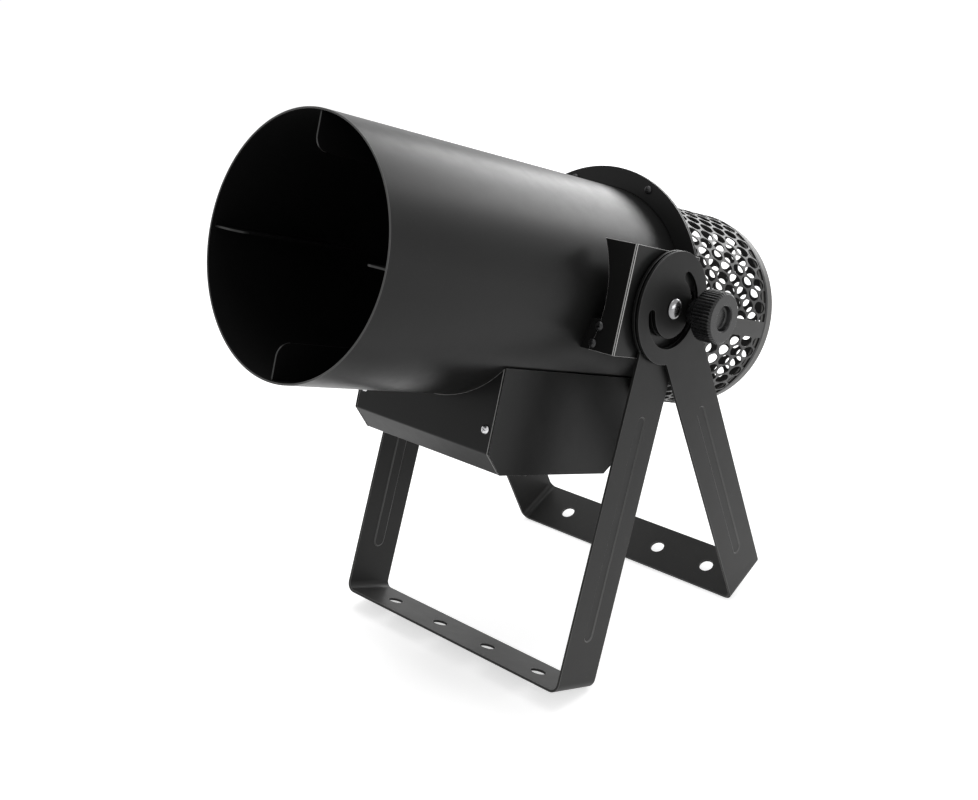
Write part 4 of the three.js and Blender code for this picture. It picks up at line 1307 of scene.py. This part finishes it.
def screw_mesh(length):
    """A pan-head screw along +y with a cross recess, the underside of its head at y = 0"""
    mesh = bmesh.new()
    crown = [(screw_head_radius * u, -screw_head_height * v) for u, v in screw_crown_shares]
    profile = soften([*crown, (screw_radius, 0)], screw_round, 4)
    profile += threaded(screw_radius, screw_plain, length - screw_plain)
    profile += [(screw_radius * screw_tip_share, length), (0, length)]
    relief = thread_between(screw_radius, screw_plain, length, screw_thread_share)
    lathe(mesh, profile, screw_sides, relief)
    bmesh.ops.recalc_face_normals(mesh, faces=mesh.faces)
    screw = link_mesh("screw_head", mesh)
    a, b = recess_reach, recess_half
    cross = [(a, -b), (a, b), (b, b), (b, a), (-b, a), (-b, b), (-a, b), (-a, -b)]
    cross += [(-b, -b), (-b, -a), (b, -a), (b, -b)]
    cutter = bmesh.new()
    prism(cutter, cross, [], -screw_head_height - cut_overrun, -screw_head_height + recess_depth)
    carve(screw, cutter)
    result = screw.data
    bpy.data.objects.remove(screw)
    return result


def add_screw(node, template, where):
    mesh = bmesh.new()
    mesh.from_mesh(template)
    dress(node, mesh, where)


def screws():
    flange_screw = screw_mesh(2 * flange_thickness + 2 * seat_gap + screw_tail)
    for k, (x, z) in enumerate(flange_places()):
        where = on_barrel(x, flange_front - seat_gap, z, k * flange_screw_twist)
        add_screw(f"flange_screw_{k + 1}", flange_screw, where)
    bracket_screw = screw_mesh(bracket_sheet + lug_length)
    for side, word in both_sides:
        for k, (x, z) in enumerate(bracket_screw_places()):
            where = on_barrel(side * x, bracket_front - seat_gap, z, bracket_screw_twist + k)
            add_screw(f"bracket_screw_{word}_{k + 1}", bracket_screw, where)
    box_screw = screw_mesh(2 * box_sheet + 2 * seat_gap + screw_tail)
    for side, word in both_sides:
        x = side * box_screw_x
        front = on_barrel(x, box_front - seat_gap, box_screw_z, box_screw_twist)
        add_screw(f"box_screw_front_{word}", box_screw, front)
        rear = on_barrel(x, box_rear + seat_gap, box_screw_z, pi, "Z")
        add_screw(f"box_screw_rear_{word}", box_screw, rear)


# Side brackets


def bracket_screw_places():
    """The screws of a bracket's front web, about the barrel's axis"""
    for k in range(2):
        z = bracket_screw_upper - k * bracket_screw_pitch
        yield bracket_screw_circle * cos(asin(z / bracket_screw_circle)), z


def notched_edge():
    """The front web's inner edge from top to bottom, with an open notch at each screw"""
    reach = screw_radius + seat_gap
    high = bracket_half_height
    points = []
    for x, z in bracket_screw_places():
        middle = z + pivot_to_axis
        points += drum_points(bracket_arc, high, middle + reach, bracket_arc_steps)
        points += arc(x, middle, reach, pi / 2, -pi / 2, bend_steps)
        high = middle - reach
    return points + drum_points(bracket_arc, high, -bracket_half_height, bracket_arc_steps)


def drum_points(radius, z_from, z_to, steps):
    """Points on a circle about the barrel's axis, between two heights about the pivot"""
    start = asin((z_from - pivot_to_axis) / radius)
    end = asin((z_to - pivot_to_axis) / radius)
    return arc(0, pivot_to_axis, radius, start, end, steps)


def side_brackets():
    top = bracket_half_height
    bend_x = bracket_face - bracket_bend
    drum = barrel_radius + seat_gap
    for side, word in both_sides:
        mesh = bmesh.new()
        rear_edge = drum_points(drum, top, -top, drum_steps)
        for y, edge in ((bracket_front, notched_edge()), (bracket_rear, rear_edge)):
            outline = [(bend_x, -top), (bend_x, top), *edge]
            sheet(mesh, outline, [], lambda u, v, side=side, y=y: (side * u, y, v))
        y0 = bracket_front + bracket_bend
        y1 = bracket_rear - bracket_bend
        hole_radius = pivot_radius + running_gap
        holes = [circle(u, 0, hole_radius, pin_hole_sides) for u in (0, slot_radius)]
        outline = [(y0, -top), (y1, -top), (y1, top), (y0, top)]
        sheet(mesh, outline, holes, lambda u, v, side=side: (side * bracket_face, u, v))
        for centre, start in ((y0, 1.5 * pi), (y1, 0)):
            bend = arc(bend_x, centre, bracket_bend, start, start + pi / 2, bracket_bend_steps)
            for step, ((a, b), (c, d)) in enumerate(zip(bend, bend[1:])):
                corners = [(side * a, b, -top), (side * c, d, -top), (side * c, d, top), (side * a, b, top)]
                # Every other bend step takes the light grey edge colour: two painted highlight lines along
                # the bend
                quad(mesh, corners).material_index = step % 2
        # Bevelled edges take the light grey edge colour too: painted highlight lines
        dress(
            f"side_bracket_{word}", mesh, pivot_space, thickness=bracket_sheet,
            outward=(side, 0, 0), bevel=bracket_edge_round, edge=bevel_painted_highlight,
        )
        nut_end = -bracket_sheet - pivot_nut_height
        nut = hex_nut(pivot_nut_radius, hole_radius, nut_end, -bracket_sheet)
        where = to_side(pivot_space, side, slot_radius, 0, side * bracket_face)
        add_to_barrel(f"weld_nut_{word}", nut, "bright_steel", where, bevel=small_bevel)


# Yokes


def yoke_leg(mesh, side, face, length, bead_top):
    """One leg with its disc, slot, pivot hole and pressed bead"""
    def place(u, v):
        return (side * face, u, v)

    half = strip_width / 2
    foot = strip_bend - length
    edge = asin(half / disc_radius)
    outline = arc(0, 0, disc_radius, edge - pi / 2, 1.5 * pi - edge, disc_steps)
    outline += [(-half, foot), (half, foot)]
    low = -pi / 2 - slot_half_span
    high = -pi / 2 + slot_half_span
    half_slot = slot_width / 2
    slot = arc(0, 0, slot_radius + half_slot, low, high, slot_steps)
    end_u, end_v = slot_radius * cos(high), slot_radius * sin(high)
    slot += arc(end_u, end_v, half_slot, high, high + pi, slot_end_steps)[1:-1]
    slot += arc(0, 0, slot_radius - half_slot, high, low, slot_steps)
    start_u, start_v = slot_radius * cos(low), slot_radius * sin(low)
    slot += arc(start_u, start_v, half_slot, low + pi, low + tau, slot_end_steps)[1:-1]
    bead_foot = bead_bottom_margin - length
    bead = obround(-bead_top, bead_foot, bead_half_width)
    pin = circle(0, 0, pivot_radius + running_gap, pin_hole_sides)
    rings = sheet(mesh, outline, [slot, pin, bead], place)
    before = rings[3]
    for width_share, depth_share in bead_shares:
        points = obround(-bead_top, bead_foot, bead_half_width * width_share)
        sunk = side * (face - bead_depth * depth_share)
        after = [mesh.verts.new((sunk, u, v)) for u, v in points]
        # The bead's walls take the light edge colour: painted highlight
        bridge(mesh, before, after, material_index=1)
        before = after
    mesh.faces.new(before)


def yoke_foot(mesh, face, length):
    """The bar with its clamp holes, and the bends up to both legs"""
    half = strip_width / 2
    reach = face - strip_bend
    holes = []
    for k in range(clamp_hole_count):
        x = (k - (clamp_hole_count - 1) / 2) * clamp_hole_pitch
        holes.append(circle(x, 0, clamp_hole_radius, screw_sides))
    outline = [(-reach, -half), (reach, -half), (reach, half), (-reach, half)]
    sheet(mesh, outline, holes, lambda u, v: (u, v, -length))
    for side in (1, -1):
        bend = arc(reach, strip_bend - length, strip_bend, -pi / 2, 0, bend_steps)
        for (a, b), (c, d) in zip(bend, bend[1:]):
            corners = [(side * a, -half, b), (side * c, -half, d), (side * c, half, d), (side * a, half, b)]
            quad(mesh, corners)


def yokes():
    for node, mount, face, bead_top in (
        ("front_yoke", front_mount, front_face, front_bead_top),
        ("rear_yoke", rear_mount, rear_face, rear_bead_top),
    ):
        mesh = bmesh.new()
        length = leg_length(mount)
        for side in (1, -1):
            yoke_leg(mesh, side, face, length, bead_top)
        yoke_foot(mesh, face, length)
        # The yokes take the lighter coat with painted shade; their edges and bead walls take painted
        # highlight lines
        dress(
            node, mesh, yoke_space(mount), yoke_lit_and_shaded, thickness=strip_thickness,
            outward=(0, 0, -1), bevel=yoke_edge_round, edge=grey_edge_painted_highlight,
        )


def washers():
    for side, word in both_sides:
        for kind, face in (("bracket", bracket_face), ("disc", front_face)):
            mesh = bmesh.new()
            inner = pivot_radius + seat_gap
            y0 = face + seat_gap
            y1 = y0 + washer_thickness
            ring(mesh, inner, washer_radius, y0, y1, turned_sides, washer_round)
            dress(f"{kind}_washer_{word}", mesh, to_side(pivot_space, side))


# Bolts and knobs


def pivot_bolts():
    seat = rear_face + seat_gap
    inner_end = bracket_face - bracket_sheet - thread_tail
    nut_outer = bracket_face - bracket_sheet - seat_gap
    thread_end = nut_outer + thread_runout
    base = seat + dome_base
    rise_share = (dome_height - dome_base) / dome_radius
    dome = arc(0, base, dome_radius, 0, pi / 2, dome_steps)
    profile = [(0, inner_end), (pivot_radius - thread_lead, inner_end)]
    profile += threaded(pivot_radius, inner_end + thread_lead, nut_outer)
    profile += [(pivot_radius, thread_end), (pivot_radius, seat), (dome_radius - dome_edge, seat)]
    profile += [(dome_radius, seat + dome_edge)]
    profile += [(u, base + (v - base) * rise_share) for u, v in dome[:-1]]
    profile += [(0, seat + dome_height)]
    for side, word in both_sides:
        where = to_side(pivot_space, side)
        mesh = bmesh.new()
        lathe(mesh, profile, dome_sides, thread_between(pivot_radius, inner_end, thread_end))
        dress(f"pivot_bolt_{word}", mesh, where, bolt_dome_painted_reflection)
        nut = hex_nut(pivot_nut_radius, pivot_radius + seat_gap, nut_outer - pivot_nut_height, nut_outer)
        dress(f"pivot_nut_{word}", nut, where, bevel=small_bevel)


def knob_profile(seat):
    """From the neck round the head into the dish"""
    base = seat + knob_neck_length
    crown = base + knob_length
    floor = crown - knob_dish_depth
    return [
        (knob_neck_radius - knob_neck_chamfer, seat),
        (knob_neck_radius, seat + knob_neck_chamfer),
        (knob_neck_radius, base - knob_neck_flare),
        (knob_neck_radius + knob_neck_flare, base),
        (knob_radius - knob_chamfer, base),
        (knob_radius, base + knob_chamfer),
        (knob_radius, base + knob_chamfer + knob_rim_band),
        (knob_radius, crown - knob_chamfer - knob_rim_band),
        (knob_radius, crown - knob_chamfer),
        (knob_radius - knob_chamfer, crown),
        (knob_dish_radius + knob_dish_lip, crown),
        (knob_dish_radius, crown - knob_dish_lip_drop),
        (knob_dish_radius - knob_dish_slope, floor + knob_dish_foot),
        (knob_dish_radius - 2 * knob_dish_slope, floor),
        (0, floor - knob_dish_sag),
    ]


def knob_relief(angle, radius, y):
    """Ridges on the rim, fading out on the chamfers"""
    if radius < knob_radius - knob_chamfer + weld:
        return 0
    fade = min(1, (radius - knob_radius + knob_chamfer) / knob_chamfer)
    wave = 0.5 - 0.5 * cos(knob_ridges * angle)
    return knob_ridge_depth * fade * wave**knob_ridge_sharpness


def clamp_knobs():
    seat = rear_face + seat_gap
    inner_end = bracket_face - bracket_sheet - thread_tail
    outer_end = seat + knob_grip
    bore = pivot_radius + seat_gap
    inside = [(0, outer_end + seat_gap), (bore, outer_end + seat_gap), (bore, seat)]
    knob_outline = inside + soften(knob_profile(seat), knob_round, 4)
    stud_outline = [(0, inner_end), (pivot_radius - thread_lead, inner_end)]
    stud_outline += threaded(pivot_radius, inner_end + thread_lead, outer_end)
    stud_outline += [(0, outer_end)]
    stud_relief = thread_between(pivot_radius, inner_end, outer_end + thread_lead)
    for side, word in both_sides:
        where = to_side(pivot_space, side, slot_radius)
        mesh = bmesh.new()
        lathe(mesh, knob_outline, 8 * knob_ridges, knob_relief)
        dress(f"clamp_knob_{word}", mesh, where)
        stud = bmesh.new()
        lathe(stud, stud_outline, shaft_sides, stud_relief)
        dress(f"clamp_stud_{word}", stud, where)


# Control box


def box_path(inset):
    """The box's folded side profile, front top to rear top, set in from its outer faces"""
    turn = atan2(box_chamfer_run, box_chamfer_rise)
    rise = inset * tan(turn / 2)
    run = inset * tan((pi / 2 - turn) / 2)
    knee = box_floor + box_chamfer_rise + rise
    return [
        (box_front + inset, box_side_top),
        (box_front + inset, knee),
        (box_front + box_chamfer_run + run, box_floor + inset),
        (box_rear - box_chamfer_run - run, box_floor + inset),
        (box_rear - inset, knee),
        (box_rear - inset, box_side_top),
    ]


def box_shell():
    mesh = bmesh.new()
    half = box_half_width - box_sheet - seat_gap
    drum = barrel_radius + seat_gap
    path = soften(box_path(0), box_fold, 5)
    for (a, b), (c, d) in zip(path[1:-2], path[2:-1]):
        quad(mesh, [(-half, a, b), (half, a, b), (half, c, d), (-half, c, d)])
    lip_turn = asin(box_lip_half / drum)
    edge_turn = asin(half / drum)
    wing = arc(0, 0, drum, -pi / 2 - edge_turn, -pi / 2 - lip_turn, wing_steps)
    belly = arc(0, 0, drum, -pi / 2 - lip_turn, -pi / 2 + lip_turn, belly_steps)
    other = arc(0, 0, drum, -pi / 2 + lip_turn, -pi / 2 + edge_turn, wing_steps)
    hole_radius = screw_radius + seat_gap
    screw_places = (-box_screw_x, box_screw_x)
    holes = [circle(x, box_screw_z, hole_radius, screw_hole_sides) for x in screw_places]
    for y, knee, sign in ((box_front, path[1][1], 1), (box_rear, path[-2][1], -1)):
        outline = wing + belly[1:] + other[1:] + [(half, knee), (-half, knee)]
        sheet(mesh, outline, holes, lambda u, v, y=y: (u, y, v))
        for (a, b), (c, d) in zip(belly, belly[1:]):
            inner = y + sign * box_lip_width
            quad(mesh, [(a, y, b), (c, y, d), (c, inner, d), (a, inner, b)])
    # Bevelled edges take the light grey edge colour: painted highlight lines
    dress(
        "box_shell", mesh, thickness=box_sheet, outward=(0, 0, -1), bevel=sheet_bevel, edge=bevel_painted_highlight
    )


def side_openings():
    """Cut-outs of the left side plate for the inlet, the switch and the fuse holder"""
    both_gaps = 2 * seat_gap
    return [
        rectangle(inlet_y, panel_z, inlet_body_width + both_gaps, inlet_body_height + both_gaps),
        rectangle(switch_y, panel_z, switch_body_width + both_gaps, switch_body_height + both_gaps),
        circle(fuse_y, panel_z, fuse_body_radius + seat_gap, screw_sides),
    ]


def box_sides():
    outline = soften(box_path(0), box_side_round, 3)
    tongue = soften(box_path(box_sheet + seat_gap), box_tongue_round, 4)
    for side, word in both_sides:
        mesh = bmesh.new()
        holes = side_openings() if side < 0 else []
        sheet(mesh, outline, holes, lambda u, v, side=side: (side * box_half_width, u, v))
        # Bevelled edges take the light grey edge colour: painted highlight lines
        dress(
            f"box_side_{word}", mesh, thickness=box_sheet, outward=(side, 0, 0), bevel=sheet_bevel,
            edge=bevel_painted_highlight,
        )
        fold = bmesh.new()
        x0 = side * (box_half_width - box_sheet)
        x1 = x0 - side * box_return
        for (a, b), (c, d) in zip(tongue, tongue[1:]):
            quad(fold, [(x0, a, b), (x1, a, b), (x1, c, d), (x0, c, d)])
        add_to_barrel(
            f"box_side_return_{word}", fold, thickness=box_sheet, outward=(0, 0, -1), bevel=fine_bevel
        )


# Controls


def rectangle(u, v, width, height):
    a, b = width / 2, height / 2
    return [(u - a, v - b), (u + a, v - b), (u + a, v + b), (u - a, v + b)]


def rounded_rectangle(u, v, width, height, rounding, steps=4):
    return soften(rectangle(u, v, width, height), rounding, steps, closed=True)


def on_panel(u, v, depth):
    """A place on the left side plate, with depth measured inwards from its face"""
    return (-box_half_width + depth, u, v)


def power_inlet():
    mesh = bmesh.new()
    face = -seat_gap - inlet_bezel
    end = face + socket_depth
    body = rounded_rectangle(inlet_y, panel_z, inlet_body_width, inlet_body_height, inlet_body_round)
    plate = rounded_rectangle(inlet_y, panel_z, inlet_width, inlet_height, inlet_plate_round, 5)
    socket = socket_outline(0)
    prism(mesh, plate, [socket], face, -seat_gap, on_panel)
    prism(mesh, body, [socket], -seat_gap - edge_round, inlet_depth, on_panel)
    prism(mesh, socket_outline(socket_wall), [], end, end + socket_wall, on_panel)
    rim = socket_outline(socket_rim)
    prism(mesh, rim, [socket], face - socket_rim_rise, face + socket_rim_sink, on_panel)
    dress("power_inlet", mesh, bevel=fine_bevel)
    for k in (-1, 0, 1):
        z = panel_z + (pin_rise if k == 0 else -pin_rise)
        pin = bmesh.new()
        y = inlet_y + k * pin_pitch
        shape = rounded_rectangle(y, z, pin_thickness, pin_width, pin_round, 3)
        prism(pin, shape, [], end - pin_length, end + socket_wall, on_panel)
        add_to_barrel(f"inlet_pin_{k + 2}", pin, "bright_steel", bevel=fine_bevel)


def socket_outline(growth):
    """The socket with its two lower corners cut off, made larger by a growth"""
    a = (socket_width + growth) / 2
    b = (socket_height + growth) / 2
    cut = socket_cut
    corners = [(-a, b), (-a, -b + cut), (-a + cut, -b), (a - cut, -b), (a, -b + cut), (a, b)]
    corners = [(inlet_y + u, panel_z + v) for u, v in corners]
    return soften(corners, socket_round, 3, closed=True)


def power_switch():
    mesh = bmesh.new()
    face = -seat_gap - bezel_thickness
    plate = rounded_rectangle(switch_y, panel_z, bezel_width, bezel_height, bezel_round)
    body = rectangle(switch_y, panel_z, switch_body_width, switch_body_height)
    opening = rectangle(switch_y, panel_z, switch_opening_width, switch_opening_height)
    floor = switch_depth - switch_wall
    prism(mesh, plate, [opening], face, -seat_gap, on_panel)
    prism(mesh, body, [opening], -seat_gap - edge_round, floor, on_panel)
    prism(mesh, body, [], floor, switch_depth, on_panel)
    dress("switch_bezel", mesh, bevel=plate_bevel)

    rocker = bmesh.new()
    half = rocker_length / 2
    rest = half * tan(rocker_tilt)
    crest = [(-half, -rocker_rise - rest), (0, -rocker_rise), (half, -rocker_rise - rest)]
    profile = soften(crest, rocker_crest_round, rocker_crest_steps)
    profile += [(half, rocker_root), (-half, rocker_root)]
    width = rocker_width / 2
    prism(rocker, profile, [], -width, width, lambda z, x, y: (x, y, z))
    where = on_barrel(-box_half_width - seat_gap, switch_y, panel_z, rocker_tilt)
    dress("switch_rocker", rocker, where, bevel=small_bevel)
    slope = atan2(rest, half)
    for kind, sign in (("on", 1), ("off", -1)):
        mark = bmesh.new()
        mark_mesh(mark, kind)
        middle = half * mark_place_share
        x = -rocker_rise - middle * tan(slope) - mark_rise
        spot = Matrix.Translation((x, 0, sign * middle)) @ Matrix.Rotation(sign * slope, 4, "Y")
        name = f"rocker_mark_{kind}"
        add_piece(name, mark, where @ spot, "power_switch", mark_white, "dark_plastic")


def mark_mesh(mesh, kind):
    """A printed bar for on, a printed ring for off, a hair's breadth high"""
    if kind == "on":
        outline = rectangle(0, 0, mark_bar_width, mark_bar_length)
        holes = []
    else:
        outline = circle(0, 0, mark_ring_outer, screw_sides)
        holes = [circle(0, 0, mark_ring_inner, screw_sides)]
    prism(mesh, outline, holes, 0, mark_height, lambda u, v, x: (x, u, v))


def fuse():
    x = -box_half_width - seat_gap - fuse_flange
    where = to_side(barrel_space, 1, fuse_y, panel_z, x)
    mesh = bmesh.new()
    bore = fuse_stem_radius + running_gap
    section = [
        (0, fuse_bore_depth),
        (bore, fuse_bore_depth),
        (bore, 0),
        (fuse_flange_radius, 0),
        (fuse_flange_radius, fuse_flange),
        (fuse_body_radius, fuse_flange),
        (fuse_body_radius, fuse_body_depth),
        (0, fuse_body_depth),
    ]
    lathe(mesh, soften(section, fuse_round, 4), small_turned_sides)
    dress("fuse_holder", mesh, where)

    cap = bmesh.new()
    profile = [
        (0, -fuse_cap_height),
        (fuse_cap_radius - fuse_cap_chamfer, -fuse_cap_height),
        (fuse_cap_radius, -fuse_cap_height + fuse_cap_chamfer),
        (fuse_cap_radius, -fuse_cap_chamfer),
        (fuse_cap_radius, -seat_gap),
        (fuse_stem_radius, -seat_gap),
        (fuse_stem_radius, fuse_stem_length),
        (0, fuse_stem_length),
    ]

    def relief(angle, radius, y):
        ribbed = radius > fuse_cap_radius - fuse_ridge_band and y < -fuse_ridge_end
        return fuse_ridge_depth * (0.5 - 0.5 * cos(fuse_cap_ridges * angle)) if ribbed else 0

    lathe(cap, soften(profile, fuse_round, 4), 6 * fuse_cap_ridges, relief)
    piece = dress("fuse_cap", cap, where)
    cut_slot(piece, where)


def cut_slot(piece, where):
    """Cuts the screwdriver slot across the fuse cap"""
    cutter = bmesh.new()
    slot = rectangle(0, 0, 2 * fuse_slot_half, 2 * (fuse_cap_radius + cut_overrun))
    prism(cutter, slot, [], -fuse_cap_height - cut_overrun, -fuse_cap_height + fuse_slot_depth)
    carve(piece, cutter, where)
    settle(piece)


# CAD pieces that keep their shape inside the box


def inner_pieces():
    for node in ("circuit_board", "fan_relay", "transformer", "run_capacitor"):
        piece = frame["nodes"][node]
        soft = piece.modifiers.new("edges", "BEVEL")
        soft.width = small_bevel * mm
        soft.segments = 2
        soft.limit_method = "ANGLE"
        for place in piece.material_slots:
            place.material = looks[slot_of_node[node]]


barrel_tube()
barrel_lugs()
muzzle_fins()
flanges()
intake_cage()
cage_trim()
rear_ring()
rear_guard()
confetti_screen()
fan()
grommet()
screws()
side_brackets()
yokes()
washers()
pivot_bolts()
clamp_knobs()
box_shell()
box_sides()
power_inlet()
power_switch()
fuse()
inner_pieces()


# Floor, light and camera


def background_rays(tree):
    """1 where the background is looked at, directly, in a reflection or through something"""
    rays = add_node(tree, "ShaderNodeLightPath")
    seen = add_node(
        tree, "ShaderNodeMath",
        {0: rays.outputs["Is Camera Ray"], 1: rays.outputs["Is Transmission Ray"]}, operation="MAXIMUM",
    )
    shown = add_node(
        tree, "ShaderNodeMath", {0: seen.outputs[0], 1: rays.outputs["Is Glossy Ray"]}, operation="MAXIMUM"
    )
    return shown.outputs[0]


def add_floor():
    mesh = bmesh.new()
    bmesh.ops.create_grid(mesh, x_segments=floor_cells, y_segments=floor_cells, size=floor_half)
    floor = link_mesh("studio_floor", mesh)
    material, tree, shader = new_look("floor_look")
    shader.inputs["Roughness"].default_value = 0.9
    shader.inputs["Specular IOR Level"].default_value = 0
    grey = tinted(tree, ranged(tree, noise(tree, 3, 4), 0, 1), (0.78, 0.78, 0.78), (0.8, 0.8, 0.8))
    tree.links.new(grey, shader.inputs["Base Color"])
    lift = add_node(
        tree, "ShaderNodeMath", {0: background_rays(tree)}, {1: floor_lift}, operation="MULTIPLY"
    )
    glow = add_node(tree, "ShaderNodeEmission", {"Strength": lift.outputs["Value"]})
    total = add_node(tree, "ShaderNodeAddShader", {0: shader.outputs[0], 1: glow.outputs[0]})
    tree.links.new(total.outputs[0], tree.nodes["Material Output"].inputs["Surface"])
    floor.data.materials.append(material)


def add_world():
    """White behind the object and in reflections, softer as a light"""
    world = bpy.data.worlds.new("studio")
    bpy.context.scene.world = world
    world.use_nodes = True
    tree = world.node_tree
    back = tree.nodes["Background"]
    mixed = tinted(tree, background_rays(tree), [world_level] * 3, (1, 1, 1))
    tree.links.new(mixed, back.inputs["Color"])
    back.inputs["Strength"].default_value = 1


def add_softbox(name, place, width, height, power):
    lamp = bpy.data.lights.new(name, "AREA")
    lamp.shape = "RECTANGLE"
    lamp.size = width
    lamp.size_y = height
    lamp.energy = power
    lamp_object = link_object(name, lamp)
    lamp_object.location = place
    aim = Vector((0, 0, target_height)) - Vector(place)
    lamp_object.rotation_euler = aim.to_track_quat("-Z", "Y").to_euler()


def add_camera():
    camera = bpy.data.cameras.new("photo_camera")
    camera.sensor_width = sensor_width
    camera.lens = photo_focal / photo_width * sensor_width
    camera.shift_x = (photo_width / 2 - photo_middle_x) / photo_width
    camera.shift_y = (photo_middle_y - photo_height / 2) / photo_width
    camera.clip_end = camera_reach
    camera_object = link_object("photo_camera", camera)
    turn = radians(camera_azimuth)
    dip = radians(camera_elevation)
    ahead = Vector((-sin(turn) * cos(dip), cos(turn) * cos(dip), -sin(dip)))
    camera_object.location = camera_place
    camera_object.rotation_euler = ahead.to_track_quat("-Z", "Y").to_euler()
    bpy.context.scene.camera = camera_object


add_floor()
add_world()
for name, (place, width, height, power) in softboxes.items():
    add_softbox(name, place, width, height, power)
add_camera()
bpy.context.scene.view_settings.view_transform = "Standard"
